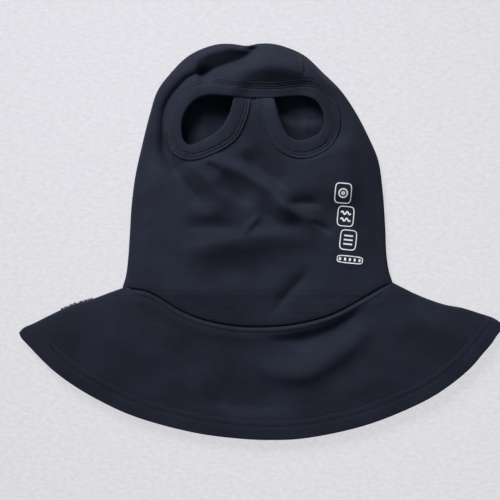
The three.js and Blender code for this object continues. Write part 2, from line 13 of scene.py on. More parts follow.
import bpy
import numpy as np
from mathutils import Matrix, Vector

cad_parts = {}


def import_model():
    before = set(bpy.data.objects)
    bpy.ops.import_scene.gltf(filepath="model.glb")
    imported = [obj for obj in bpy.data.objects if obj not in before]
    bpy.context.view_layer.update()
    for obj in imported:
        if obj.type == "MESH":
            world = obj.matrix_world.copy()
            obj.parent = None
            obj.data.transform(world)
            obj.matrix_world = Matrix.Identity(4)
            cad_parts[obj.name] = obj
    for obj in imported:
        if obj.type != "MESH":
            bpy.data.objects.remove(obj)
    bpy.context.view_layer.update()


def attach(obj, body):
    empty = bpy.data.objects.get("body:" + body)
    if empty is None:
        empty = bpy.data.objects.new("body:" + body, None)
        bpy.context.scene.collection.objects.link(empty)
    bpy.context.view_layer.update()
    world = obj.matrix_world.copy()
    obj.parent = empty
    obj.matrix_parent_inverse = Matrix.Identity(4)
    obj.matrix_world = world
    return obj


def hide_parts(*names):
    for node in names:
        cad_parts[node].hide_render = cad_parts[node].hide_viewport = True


LOG = logging.getLogger("balaclava")
MM = 0.001
Array = np.ndarray
Place = tuple[float, float]
Socket = bpy.types.NodeSocket
Tree = bpy.types.NodeTree


# Curves and distances in plan


def smooth_rows(rows: Array, fineness: int) -> Array:
    """Points of a centripetal Catmull-Rom curve through the given rows.

    Each stretch between two rows blends three straight lines twice over, with knots spaced by
    the square root of the distance between rows, so the curve neither loops nor overshoots.

    Args:
        rows: the rows to pass through, plan place first, then any carried columns.
        fineness: points for each stretch.

    Returns:
        The points, one row each, starting at the first row and ending at the last.
    """
    ends = np.vstack([2 * rows[0] - rows[1], rows, 2 * rows[-1] - rows[-2]])
    four = [ends[i : len(ends) - 3 + i][:, None, :] for i in range(4)]
    gaps = [np.sqrt(np.linalg.norm((b - a)[..., :2], axis=-1)) for a, b in zip(four, four[1:])]
    knots = [np.zeros_like(gaps[0])]
    for gap in gaps:
        knots.append(knots[-1] + np.maximum(gap, 1e-6))
    along = np.linspace(0, 1, fineness, endpoint=False)[None, :]
    at = (knots[1] + along * (knots[2] - knots[1]))[..., None]
    knots = [knot[..., None] for knot in knots]

    def blend(a: Array, b: Array, i: int, j: int) -> Array:
        """Straight blend of a and b between knots i and j."""
        return (a * (knots[j] - at) + b * (at - knots[i])) / (knots[j] - knots[i])

    first = [blend(four[i], four[i + 1], i, i + 1) for i in range(3)]
    second = [blend(first[i], first[i + 1], i, i + 2) for i in range(2)]
    curve = blend(second[0], second[1], 1, 2).reshape(-1, rows.shape[1])
    return np.vstack([curve, rows[-1]])


class Curve:
    """A smooth plan curve, read by the share of its length."""

    def __init__(self, rows: Sequence[Sequence[float]], fineness: int = 24) -> None:
        """Sets the curve through rows, with that many points for each stretch."""
        self.fineness = fineness
        self.points = smooth_rows(np.array(rows, float), fineness)
        steps = np.linalg.norm(np.diff(self.points[:, :2], axis=0), axis=1)
        self.along = np.concatenate([[0.0], np.cumsum(steps)])
        self.length = float(self.along[-1])

    def share_of_row(self, row: int) -> float:
        """Share of the length at one of the rows that the curve passes through."""
        return float(self.along[row * self.fineness] / self.length)

    def at(self, share: Array) -> Array:
        """Rows of the curve at shares of its length."""
        where = np.clip(share, 0, 1) * self.length
        return np.stack([np.interp(where, self.along, column) for column in self.points.T], axis=-1)

    def left(self, share: Array) -> Array:
        """Unit plan directions square to the curve, on its left."""
        step = 0.6 / self.length
        run = self.at(share + step)[..., :2] - self.at(share - step)[..., :2]
        run /= np.linalg.norm(run, axis=-1, keepdims=True)
        return np.stack([-run[..., 1], run[..., 0]], axis=-1)


@dataclass(frozen=True)
class Near:
    """Nearest places of a polyline to some points."""

    distance: Array
    side: Array  # positive to the left of the line
    share: Array
    away: Array  # unit direction from the line to the point


def nearest(points: Array, line: Array) -> Near:
    """Nearest place of a polyline to each point.

    Each point is dropped square onto every stretch, held between the stretch's ends, and the
    shortest of these is kept.

    Args:
        points: plan points, one row each.
        line: plan points of the polyline.

    Returns:
        Distances, sides, shares of the way along, and unit directions.
    """
    start, run = line[:-1, :2], np.diff(line[:, :2], axis=0)
    square = np.maximum((run * run).sum(1), 1e-12)
    found = []
    for part in np.array_split(points, max(1, len(points) * len(run) // 4_000_000)):
        gap = part[:, None, :] - start[None]
        along = np.clip((gap * run).sum(-1) / square, 0, 1)
        gap -= along[..., None] * run
        which = np.argmin((gap * gap).sum(-1), axis=1)
        rows = np.arange(len(part))
        away = gap[rows, which]
        turn = run[which, 0] * away[:, 1] - run[which, 1] * away[:, 0]
        share = (which + along[rows, which]) / len(run)
        found.append(np.column_stack([away, turn, share]))
    away_x, away_y, turn, share = np.vstack(found).T
    distance = np.hypot(away_x, away_y)
    away = np.stack([away_x, away_y], axis=-1) / np.maximum(distance, 1e-9)[:, None]
    return Near(distance, np.sign(turn), share, away)


def ease(value: Array, low: float, high: float) -> Array:
    """Smooth step: 0 below low, 1 above high, with level ends."""
    t = np.clip((value - low) / (high - low), 0, 1)
    return t * t * (3 - 2 * t)


def bell(distance: Array, reach: float) -> Array:
    """Round bell: 1 where the distance is nought, falling off over the reach."""
    return np.exp(-((distance / reach) ** 2))


# Meshes


def make_object(name: str, points: Array, faces: Array, crease: float = 50.0) -> bpy.types.Object:
    """Makes a mesh object from points in millimetres.

    Args:
        name: the piece's name.
        points: vertex places, one row each.
        faces: corners of four-sided faces, one row each; unused vertices are dropped.
        crease: angle in degrees above which an edge is shaded sharp.

    Returns:
        The object, at the origin and linked to the scene.
    """
    used, corners = np.unique(faces, return_inverse=True)
    place = (points[used] * MM).astype(np.float32)
    corners = corners.reshape(-1).astype(np.int32)
    mesh = bpy.data.meshes.new(name)
    mesh.vertices.add(len(place))
    mesh.vertices.foreach_set("co", place.ravel())
    mesh.loops.add(len(corners))
    mesh.loops.foreach_set("vertex_index", corners)
    mesh.polygons.add(len(faces))
    mesh.polygons.foreach_set("loop_start", np.arange(0, len(corners), 4, dtype=np.int32))
    mesh.update(calc_edges=True)
    mesh.shade_smooth()
    mesh.set_sharp_from_angle(angle=math.radians(crease))
    made = bpy.data.objects.new(name, mesh)
    bpy.context.scene.collection.objects.link(made)
    layer = mesh.uv_layers.new(name="cloth")
    layer.uv.foreach_set("vector", (points[used][corners][:, :2] * MM).astype(np.float32).ravel())
    return made


def set_pattern(made: bpy.types.Object, places: Array, faces: Array) -> None:
    """Replaces the plan pattern of a piece by one that follows it, in millimetres."""
    flat = (places[faces.reshape(-1)] * MM).astype(np.float32)
    made.data.uv_layers["cloth"].uv.foreach_set("vector", flat.ravel())


def sheet_faces(rows: int, columns: int, keep: Array) -> Array:
    """Faces of a closed sheet of two layers, with walls wherever a kept cell has no neighbour.

    The first layer's vertices count from 0 and the second layer's from rows times columns.
    """
    upper = np.arange(rows * columns).reshape(rows, columns)
    lower = upper + rows * columns
    r, c = np.nonzero(keep)
    top = np.stack([upper[r, c], upper[r, c + 1], upper[r + 1, c + 1], upper[r + 1, c]], axis=1)
    under = np.stack([lower[r, c], lower[r + 1, c], lower[r + 1, c + 1], lower[r, c + 1]], axis=1)
    framed = np.pad(keep, 1)
    parts = [top, under]
    # Each neighbour of a cell, and the two corners of the cell beside it
    sides = (
        ((-1, 0), (0, 0), (0, 1)), ((0, 1), (0, 1), (1, 1)),
        ((1, 0), (1, 1), (1, 0)), ((0, -1), (1, 0), (0, 0)),
    )
    for (down, across), start, end in sides:
        bare = ~framed[r + 1 + down, c + 1 + across]
        a = (r[bare] + start[0], c[bare] + start[1])
        b = (r[bare] + end[0], c[bare] + end[1])
        parts.append(np.stack([lower[a], lower[b], upper[b], upper[a]], axis=1))
    return np.vstack(parts)


def tube_faces(rings: int, around: int) -> Array:
    """Faces of a closed tube of rings, capped by pairing each ring's first half with its second."""
    index = np.arange(rings * around).reshape(rings, around)
    near, far = index[:-1], index[1:]
    wall = np.stack([near, np.roll(near, -1, 1), np.roll(far, -1, 1), far], axis=-1).reshape(-1, 4)
    k = np.arange(around // 2 - 1)
    pair = np.stack([k, k + 1, around - 2 - k, around - 1 - k], axis=1)
    return np.vstack([wall, index[0][pair][:, ::-1], index[-1][pair]])


def join_meshes(parts: Sequence[tuple[Array, Array]]) -> tuple[Array, Array]:
    """Several pairs of points and faces as one pair."""
    starts = np.cumsum([0] + [len(points) for points, _ in parts])
    faces = [faces + start for (_, faces), start in zip(parts, starts)]
    return np.vstack([points for points, _ in parts]), np.vstack(faces)


def threads(starts: Array, ends: Array, radius: float, sink: float = 0.3) -> tuple[Array, Array]:
    """Small rounded bars, one for each stitch.

    A bar is six-sided rings along the straight line from start to end, whose radius rises and
    falls as a half circle and whose ends dip into the cloth by a parabola.

    Args:
        starts: first ends of the stitches, one row each.
        ends: second ends.
        radius: radius at the middle.
        sink: how far the two ends dip.

    Returns:
        Points and faces of all the bars.
    """
    along = np.array([0.0, 0.12, 0.35, 0.65, 0.88, 1.0])
    swell = np.sqrt(np.clip(1 - (2 * along - 1) ** 2, 0, 1)) * 0.75 + 0.25
    turns = np.arange(6) * math.pi / 3
    run = ends - starts
    ahead = run / np.maximum(np.linalg.norm(run, axis=1, keepdims=True), 1e-9)
    beside = np.cross(np.array([0.0, 0.0, 1.0]), ahead)
    beside /= np.maximum(np.linalg.norm(beside, axis=1, keepdims=True), 1e-9)
    above = np.cross(ahead, beside)
    middle = starts[:, None] + along[None, :, None] * run[:, None]
    middle = middle - above[:, None] * (sink * (2 * along - 1) ** 2)[None, :, None]
    around = np.cos(turns)[None, :, None] * beside[:, None] + np.sin(turns)[None, :, None] * above[:, None]
    points = middle[:, :, None] + (radius * swell)[None, :, None, None] * around[:, None]
    one = tube_faces(len(along), len(turns))
    faces = one[None] + (np.arange(len(starts)) * len(along) * len(turns))[:, None, None]
    return points.reshape(-1, 3), faces.reshape(-1, 4)


# The body of the garment


@dataclass(frozen=True)
class Fold:
    """One fold of the cloth: a ridge, or a hollow where the height is negative.

    Across the path the height falls off as e to the minus (distance over reach) to a power, with
    its own reach on each side. A power of 2 gives a round bell and one near 1 a sharp crease.
    """

    path: tuple[Place, ...]
    height: float
    left: float
    right: float
    fade: float = 0.4  # share of the path over which each end dies away
    power: float = 2.0

    def at(self, points: Array) -> Array:
        """Height that the fold adds at plan points."""
        line = Curve(self.path, 8).points
        reach = 3 * max(self.left, self.right)
        inside = ((points > line.min(0) - reach) & (points < line.max(0) + reach)).all(1)
        added = np.zeros(len(points))
        if inside.any():
            near = nearest(points[inside], line)
            width = np.where(near.side > 0, self.left, self.right)
            ends = ease(np.minimum(near.share, 1 - near.share), 0, self.fade)
            added[inside] = self.height * ends * np.exp(-((near.distance / width) ** self.power))
        return added


@dataclass(frozen=True)
class Outline:
    """Plan outlines of the laid garment."""

    hood_edge: tuple[Place, ...] = (
        (-152.8, -51.2), (-148.9, -38.0), (-146.4, -18.2), (-144.5, 10.4), (-142.6, 40.1), (-138.5, 72.0),
        (-131.3, 105.0), (-122.5, 140.2), (-113.8, 166.6), (-98.9, 186.4), (-82.4, 202.9), (-64.8, 212.5),
        (-47.2, 217.6), (-31.8, 217.9), (-15.3, 215.9), (-3.2, 218.1), (11.1, 218.3), (27.6, 214.5),
        (48.5, 204.8), (68.3, 186.4), (88.1, 166.6), (104.6, 142.4), (118.9, 114.9), (129.4, 89.6),
        (134.3, 56.6), (137.1, 18.1), (138.7, -16.0), (141.5, -33.6), (145.3, -45.1),
    )
    crown_rows: tuple[int, int] = (9, 20)
    front_seam: tuple[Place, ...] = (
        (-152.8, -51.2), (-138.5, -52.9), (-124.2, -55.6), (-111.0, -62.2), (-94.5, -72.6), (-78.0, -80.9),
        (-56.0, -88.1), (-28.5, -93.0), (1.2, -94.2), (32.0, -91.9), (59.5, -86.4), (81.5, -79.0),
        (100.2, -69.4), (120.0, -58.4), (135.4, -49.6), (145.3, -45.1),
    )
    back_seam: tuple[Place, ...] = (
        (-152.8, -51.2), (-117.0, -55.2), (-74.5, -62.4), (-3.7, -67.2), (67.0, -62.4), (109.5, -55.2),
        (145.3, -45.1),
    )
    left_side: tuple[Place, ...] = (
        (-266.6, -100.2), (-261.7, -95.2), (-250.7, -90.2), (-225.4, -77.6), (-206.7, -69.4),
        (-185.8, -63.3), (-168.2, -56.7), (-152.8, -51.2),
    )
    right_side: tuple[Place, ...] = (
        (266.9, -91.4), (257.5, -84.8), (239.9, -78.7), (222.3, -73.2), (204.7, -69.9), (187.1, -64.4),
        (168.4, -56.7), (155.2, -50.1), (145.3, -45.1),
    )
    hem: tuple[Place, ...] = (
        (-266.6, -100.2), (-263.9, -105.7), (-257.3, -112.8), (-230.9, -139.2), (-207.8, -156.8),
        (-178.1, -174.4), (-139.6, -192.0), (-75.8, -209.6), (-28.5, -216.2), (11.1, -218.2),
        (49.6, -216.2), (118.9, -200.8), (181.6, -174.4), (209.1, -156.8), (230.0, -139.2),
        (245.4, -121.6), (253.1, -112.8), (259.7, -103.4), (264.7, -96.9), (266.9, -91.4),
    )


# The long tuck runs from the crown round the left eye's tape and down over the cheek. It is one
# sharp valley, whose face side looks up at the light and whose outer side looks away from it.
TUCK_FOLDS = (
    Fold(((-2.1, 217.2), (-13.1, 206.2), (-23.0, 200.2), (-36.2, 195.2), (-49.4, 190.2),
          (-60.4, 184.8), (-71.4, 183.1)), -12.0, 8.5, 9.0, 0.12, 1.25),
    Fold(((-49.4, 190.2), (-67.0, 185.3), (-81.3, 178.7), (-91.7, 168.8), (-101.1, 156.7),
          (-106.6, 142.4), (-108.2, 127.0), (-107.1, 110.5), (-103.3, 96.2), (-96.7, 81.9),
          (-87.9, 68.7)), -8.0, 9.0, 4.5, 0.1, 1.2),
    Fold(((-109.9, 124.8), (-106.6, 105.0), (-101.1, 87.4), (-90.1, 70.9), (-78.0, 56.6),
          (-65.9, 43.4), (-51.6, 26.9)), -9.0, 12.0, 10.0, 0.25, 1.4),
)
CROWN_FOLDS = (
    Fold(((-31.8, 184.2), (-1.0, 189.7), (32.0, 188.6), (62.8, 175.4), (82.6, 155.6)),
         7.0, 18.0, 10.0, 0.3),
    Fold(((-31.8, 165.5), (-12.0, 161.1), (12.2, 161.1), (38.6, 162.2), (62.8, 158.9)),
         -7.5, 15.0, 10.0, 0.25),
    Fold(((-82.4, 195.2), (-62.6, 203.5), (-45.0, 209.5), (-29.6, 212.3), (-16.4, 212.8),
          (-4.3, 214.5)), 5.0, 5.0, 6.0, 0.25),
    Fold(((43.0, 212.8), (46.3, 197.4), (48.0, 177.6)), -1.4, 2.0, 2.0, 0.2, 1.4),
)
FACE_FOLDS = (
    Fold(((-82.4, 91.8), (-69.2, 78.6), (-53.8, 63.2), (-38.4, 48.9), (-23.0, 39.0)), 5.0, 8.0, 9.0),
    Fold(((-56.0, 67.6), (-39.5, 56.6), (-23.0, 47.8), (-5.4, 40.1)), -6.2, 12.0, 7.0, 0.4, 1.6),
    Fold(((-60.4, 86.3), (-51.6, 80.8), (-42.8, 72.0)), -3.1, 2.5, 4.0, 0.4, 1.5),
    Fold(((-23.0, 99.5), (-15.3, 89.6), (-5.4, 79.7), (10.0, 69.8), (23.2, 61.0), (38.6, 46.7)),
         -7.5, 16.0, 6.0, 0.35, 1.5),
    Fold(((-74.7, 96.2), (-50.5, 86.3), (-23.0, 76.4), (-1.0, 64.3), (16.6, 50.0), (32.0, 31.3),
          (43.0, 17.0)), 6.9, 8.0, 9.0, 0.25),
    Fold(((10.0, 50.0), (26.5, 36.8), (45.2, 26.9), (71.6, 12.6)), 5.6, 6.0, 7.0, 0.35),
    Fold(((-7.6, 47.8), (3.4, 33.5), (16.6, 21.4), (36.4, 11.5), (54.0, 3.8)), -5.0, 8.0, 9.0, 0.4, 1.6),
    Fold(((24.3, 42.3), (38.6, 41.2), (56.2, 41.2), (71.6, 36.8)), -6.9, 10.0, 4.0, 0.4, 1.5),
    Fold(((49.6, 23.6), (65.0, 17.0), (82.6, 6.0)), -4.4, 4.0, 4.0, 0.4, 1.4),
    Fold(((-91.2, 17.0), (-67.0, 17.0), (-39.5, 14.8), (-17.5, 12.6)), -6.9, 12.0, 7.0, 0.45),
    Fold(((-97.8, -13.8), (-67.0, -7.2), (-34.0, 0.5), (1.2, 4.9), (37.5, 9.3), (69.4, 17.0)),
         6.2, 8.0, 15.0, 0.3),
    Fold(((-23.0, 3.8), (-12.0, 17.0), (1.2, 32.4)), 3.0, 4.0, 4.0),
    Fold(((-67.0, -29.2), (-17.5, -33.6), (32.0, -29.2)), -4.0, 14.0, 14.0, 0.5),
    Fold(((52.9, -27.0), (43.0, -42.4), (32.0, -54.5), (21.0, -67.7), (8.9, -83.1)),
         -5.0, 8.0, 8.0, 0.35, 1.5),
    Fold(((87.0, 120.4), (93.6, 78.6), (95.8, 32.4)), 8.1, 12.0, 42.0, 0.3),
    Fold(((-122.0, 45.6), (-124.2, 12.6), (-126.4, -22.6)), 2.5, 12.0, 12.0),
    Fold(((-100.0, -44.6), (-67.0, -57.8), (-23.0, -68.8)), 2.5, 12.0, 12.0),
)
CAPE_FOLDS = (
    Fold(((124.4, -63.3), (98.0, -82.0), (70.5, -99.6), (38.6, -108.4), (-12.0, -106.2)),
         -7.0, 12.0, 10.0, 0.3, 1.5),
    Fold(((134.3, -75.4), (106.8, -104.0), (79.3, -129.3), (43.0, -146.9), (7.8, -141.4),
          (-23.0, -120.5)), 6.0, 11.0, 15.0, 0.35),
    Fold(((-72.5, -167.8), (-39.5, -175.5), (1.2, -179.9), (48.5, -176.6)), -6.0, 28.0, 10.0, 0.35),
    Fold(((-163.8, -79.8), (-129.7, -111.7), (-104.4, -150.2)), 3.2, 20.0, 20.0),
    Fold(((-212.2, -95.2), (-190.2, -121.6), (-166.0, -152.4)), -2.6, 16.0, 16.0),
    Fold(((-95.6, -97.4), (-80.2, -128.2), (-65.9, -160.1)), -2.8, 16.0, 16.0),
    Fold(((149.7, -91.9), (179.4, -118.3), (198.1, -144.7)), -3.5, 14.0, 14.0),
    Fold(((169.5, -77.6), (204.7, -97.4), (227.8, -118.3)), 3.0, 12.0, 12.0),
    Fold(((70.5, -167.8), (110.1, -157.9), (149.7, -140.3)), 2.2, 14.0, 14.0),
)


@dataclass
class Body:
    """Form of the front and back layers as functions of the plan place."""

    outline: Outline = field(default_factory=Outline)
    roll: float = 3.7  # radius of the rolled edge
    gap: float = 0.3  # between the two layers at the edge
    cloth: float = 2.2
    hem_cloth: float = 3.2
    hood_rise: float = 18.0
    neck_rise: float = 12.0
    hem_rise: float = 4.0
    full_y: float = 84.0  # from here up the hood has its full rise
    neck_y: float = -51.2
    cape_drop: float = 166.8  # from neck to hem
    spread: float = 90.0  # distance from the edge over which the layer rises
    crown_spread: float = 42.0  # the crown is domed more steeply than the sides
    crown_y: tuple[float, float] = (120.0, 195.0)  # where the one spread gives way to the other
    groove: tuple[Place, ...] = ((2.0, 1.3), (0.8, 5.0))  # depth and reach, narrow and wide
    bead: tuple[float, float, float] = (1.5, 3.0, 2.2)  # height, distance below the seam, reach
    shoulder: tuple[float, float, float] = (1.6, 10.0, 8.0)
    hem_rows: tuple[float, float] = (14.0, 21.0)  # distances of the stitch rows from the hem
    least_height: float = 5.0  # of the front's outer face away from the edge
    least_rounding: float = 2.0
    tape_width: float = 18.7
    eye_size: Place = (56.6, 53.4)
    eye_left: Place = (-57.9, 132.8)
    eye_right: Place = (41.6, 132.8)
    left_lip: tuple[tuple[float, float, float], ...] = (
        (1.02, 1.25, 1.02), (0.98, 0.87, 1.04), (0.90, 0.47, 1.06), (0.77, 0.10, 1.08),
        (0.59, -0.25, 1.1), (0.30, -0.54, 1.06), (-0.05, -0.76, 1.0), (-0.40, -0.95, 0.94),
        (-0.71, -1.03, 0.9), (-0.92, -0.87, 1.0), (-1.01, -0.52, 1.08), (-1.00, -0.10, 1.15),
        (-0.89, 0.29, 1.17), (-0.67, 0.62, 1.14), (-0.40, 0.85, 1.12), (-0.05, 0.97, 1.08),
        (0.45, 0.97, 1.02), (0.98, 0.91, 0.96),
    )  # across and up in half eye sizes, and width in tape widths
    right_lip: tuple[tuple[float, float, float], ...] = (
        (-0.96, 0.90, 0.88), (-0.42, 0.97, 0.86), (0.05, 0.99, 0.92), (0.40, 0.92, 0.97),
        (0.71, 0.70, 0.98), (0.90, 0.37, 0.97), (0.96, 0.02, 0.98), (0.89, -0.33, 1.0),
        (0.73, -0.58, 1.02), (0.44, -0.75, 1.06), (0.13, -0.85, 1.06), (-0.14, -0.82, 1.04),
        (-0.40, -0.69, 1.0), (-0.59, -0.39, 0.98), (-0.75, 0.02, 0.97), (-0.88, 0.52, 1.0),
        (-0.96, 0.87, 1.04), (-1.00, 1.25, 1.02),
    )

    def __post_init__(self) -> None:
        """Makes the curves that the form is measured from."""
        self.hood_edge = Curve(self.outline.hood_edge)
        self.hem = Curve(self.outline.hem)
        self.left_side = Curve(self.outline.left_side)
        self.right_side = Curve(self.outline.right_side)
        self.front_seam = Curve(self.outline.front_seam)
        self.back_seam = Curve(self.outline.back_seam)
        halves = ((self.left_lip, self.eye_left), (self.right_lip, self.eye_right))
        rows = [
            (middle[0] + across * self.eye_size[0] / 2, middle[1] + up * self.eye_size[1] / 2, width)
            for table, middle in halves
            for across, up, width in table
        ]
        self.lip = Curve(rows)
        parts = (self.left_side.at(np.linspace(0, 1, 60)), self.hood_edge.at(np.linspace(0, 1, 200)),
                 self.right_side.at(np.linspace(1, 0, 60)))
        self.free_edge = np.vstack(parts)[:, :2]
        self.lip_line = self.lip.at(np.linspace(0, 1, 160))[:, :2]
        self.seam_line = self.front_seam.at(np.linspace(0, 1, 80))
        self.hem_line = self.hem.at(np.linspace(0, 1, 120))

    def crown_shares(self) -> tuple[float, float]:
        """Shares of the hood's edge between which it is the crown."""
        start, end = self.outline.crown_rows
        return self.hood_edge.share_of_row(start), self.hood_edge.share_of_row(end)

    def fullness(self, y: Array) -> Array:
        """Rise of the front layer: a bow from neck to hem, eased from neck to the eyes' height."""
        fallen = 1 - (1 - np.clip((self.neck_y - y) / self.cape_drop, 0, 1)) ** 2
        below = self.neck_rise + (self.hem_rise - self.neck_rise) * fallen
        above = self.neck_rise + (self.hood_rise - self.neck_rise) * ease(y, self.neck_y, self.full_y)
        return np.where(y < self.neck_y, below, above)

    def ripple(self, points: Array) -> Array:
        """Slight unevenness of laid cloth: a sum of long and short waves in several directions."""
        x, y = points.T
        long_waves = np.sin(x / 31 + y / 57) + np.sin(y / 26 - x / 70 + 1.3)
        long_waves += 0.8 * np.sin((x + y) / 19 + 0.7)
        short_waves = np.sin(x / 7.3 + y / 11 + 2 * np.sin(y / 23)) * np.sin(y / 8.1 - x / 17)
        return 0.28 * long_waves + 0.13 * short_waves

    def from_edge(self, points: Array) -> Array:
        """Distance in from the free edge; a point just outside the sampled edge counts as on it."""
        near = nearest(points, self.free_edge)
        return np.where((near.side < 0) | (near.distance > 1), near.distance, 0.0)

    def folded(self, points: Array, edge: Array, seam: Near) -> Array:
        """Height that the folds add.

        They die away at the seam and the free edge. Those of the face die away beside the tapes
        too, and the long tuck grows shallower there.
        """
        beside_tape = nearest(points, self.lip_line).distance - self.tape_width
        groups = (FACE_FOLDS, TUCK_FOLDS, CROWN_FOLDS, CAPE_FOLDS)
        face, tuck, crown, cape = (sum(fold.at(points) for fold in folds) for folds in groups)
        off_edge = ease(edge, 1, 12)
        on_hood = ease(seam.distance, 0, 7) * (seam.side > 0)
        on_cape = ease(seam.distance, 2, 14) * (seam.side < 0)
        face = face * off_edge * ease(beside_tape, -4, 6)
        crown = crown * ease(edge, 0, 7)
        tuck = tuck * ease(edge, 0, 5) * (0.6 + 0.4 * ease(beside_tape, -16, 1))
        return on_hood * (face + crown + tuck) + on_cape * off_edge * cape

    def seam_form(self, edge: Array, seam: Near) -> tuple[Array, Array]:
        """Depth of the neck seam's groove, and height of the bead and padded shoulder below it."""
        groove = sum(depth * bell(seam.distance, reach) for depth, reach in self.groove)
        forms = (self.bead, self.shoulder)
        padding = sum(rise * bell(seam.distance - below, reach) for rise, below, reach in forms)
        return groove * ease(edge, 1, 9), padding * ((seam.side < 0) * ease(edge, 2, 30))

    def front(self, points: Array) -> Array:
        """Height of the front's outer face.

        The sum of the rolled edge, a quarter circle of the distance from the free edge; the rise,
        a parabola of that distance; the folds; the neck seam's form; and the unevenness. A
        rounded lower bound keeps the layer clear of the back.
        """
        edge = self.from_edge(points)
        seam = nearest(points, self.seam_line)
        reach = self.spread + (self.crown_spread - self.spread) * ease(points[:, 1], *self.crown_y)
        spread = 1 - (1 - np.clip(edge / reach, 0, 1)) ** 2
        rolled = self.roll * np.sqrt(1 - (1 - np.clip(edge / self.roll, 0, 1)) ** 2)
        groove, padding = self.seam_form(edge, seam)
        height = self.roll + self.gap / 2 + rolled + self.fullness(points[:, 1]) * spread
        height = height + self.folded(points, edge, seam) - groove
        height += padding + self.ripple(points) * ease(edge, 1, 14) - self.hem_marks(points)
        least = self.least_height
        bounded = (height + least + np.sqrt((height - least) ** 2 + self.least_rounding)) / 2
        return height + (bounded - height) * ease(edge, 3, 7)

    def hem_marks(self, points: Array) -> Array:
        """Dips of the two rows of hem stitches, and the slight step where the turned hem ends."""
        low = points[:, 1] < -60
        dips = np.zeros(len(points))
        if low.any():
            inward = nearest(points[low], self.hem_line).distance
            rows = sum(bell(inward - row, 1.5) for row in self.hem_rows)
            dips[low] = 0.5 * rows + 0.35 * ease(inward, 20, 24)
        return dips

    def back(self, points: Array) -> Array:
        """Height of the back's outer face: on the floor, and rolled up at the free edge."""
        left = 1 - np.clip(self.from_edge(points) / self.roll, 0, 1)
        return (self.roll - self.gap / 2) * (1 - np.sqrt(1 - left**2))

    def back_inside(self, points: Array) -> Array:
        """Loose folds of the back's inner face, as seen through the eye openings."""
        shelf = Fold(((8.0, 144.0), (30.0, 131.0), (46.0, 127.0), (72.0, 129.0)), 5.0, 4.0, 17.0, 0.2)
        crease = Fold(((50.0, 139.0), (49.5, 130.0), (50.5, 116.0)), 2.0, 2.6, 2.6)
        left = Fold(((-61.0, 156.0), (-61.5, 130.0), (-62.0, 102.0)), 2.4, 7.0, 7.0, 0.3)
        return sum(fold.at(points) for fold in (shelf, crease, left))

    def frame(self, points: Array) -> tuple[Array, Array]:
        """Places on the front's outer face and its unit normals, at plan points."""
        step = 0.5
        here = self.front(points)
        slope_x = (self.front(points + [step, 0]) - here) / step
        slope_y = (self.front(points + [0, step]) - here) / step
        normal = np.stack([-slope_x, -slope_y, np.ones(len(points))], axis=-1)
        normal /= np.linalg.norm(normal, axis=1, keepdims=True)
        return np.column_stack([points, here]), normal


def rim_lines(count: int, size: float, rolled: tuple[bool, bool], roll: float) -> Array:
    """Grid lines from 0 to 1, close together over a rolled edge at either end."""
    rows = np.array([0, 0.04, 0.13, 0.28, 0.5, 0.75, 1.0]) * roll / size
    start = rows if rolled[0] else np.array([0.0])
    end = 1 - rows[::-1] if rolled[1] else np.array([1.0])
    middle = np.linspace(start[-1], end[0], count)[1:-1]
    return np.concatenate([start, middle, end])


def finer_at_start(lines: Array, reach: float, count: int) -> Array:
    """Grid lines with their first stretch, up to reach, cut into count even steps."""
    return np.concatenate([np.linspace(0, reach, count, endpoint=False), lines[lines >= reach]])


def coons(bottom: Array, top: Array, left: Array, right: Array, across: Array, along: Array) -> Array:
    """Plan grid bounded by four sides.

    The two ruled patches between opposite sides are added, and the patch between the four
    corners is taken away, so the grid meets all four sides.

    Args:
        bottom: points of the near side at the across lines.
        top: points of the far side at the across lines.
        left: points of the left side at the along lines.
        right: points of the right side at the along lines.
        across: grid lines from left to right, 0 to 1.
        along: grid lines from near to far, 0 to 1.

    Returns:
        Plan points, rows along by columns across.
    """
    s, t = across[None, :, None], along[:, None, None]
    ruled = (1 - t) * bottom[None] + t * top[None] + (1 - s) * left[:, None] + s * right[:, None]
    near = (1 - s) * bottom[0] + s * bottom[-1]
    far = (1 - s) * top[0] + s * top[-1]
    return ruled - (1 - t) * near - t * far


def grid_normals(places: Array) -> Array:
    """Unit normals of a grid of places, from the cross product of its two directions."""
    normal = np.cross(np.gradient(places, axis=1), np.gradient(places, axis=0))
    return normal / np.maximum(np.linalg.norm(normal, axis=-1, keepdims=True), 1e-12)


class Side(Enum):
    """Which layer of the garment a panel belongs to."""

    FRONT = "front"
    BACK = "back"


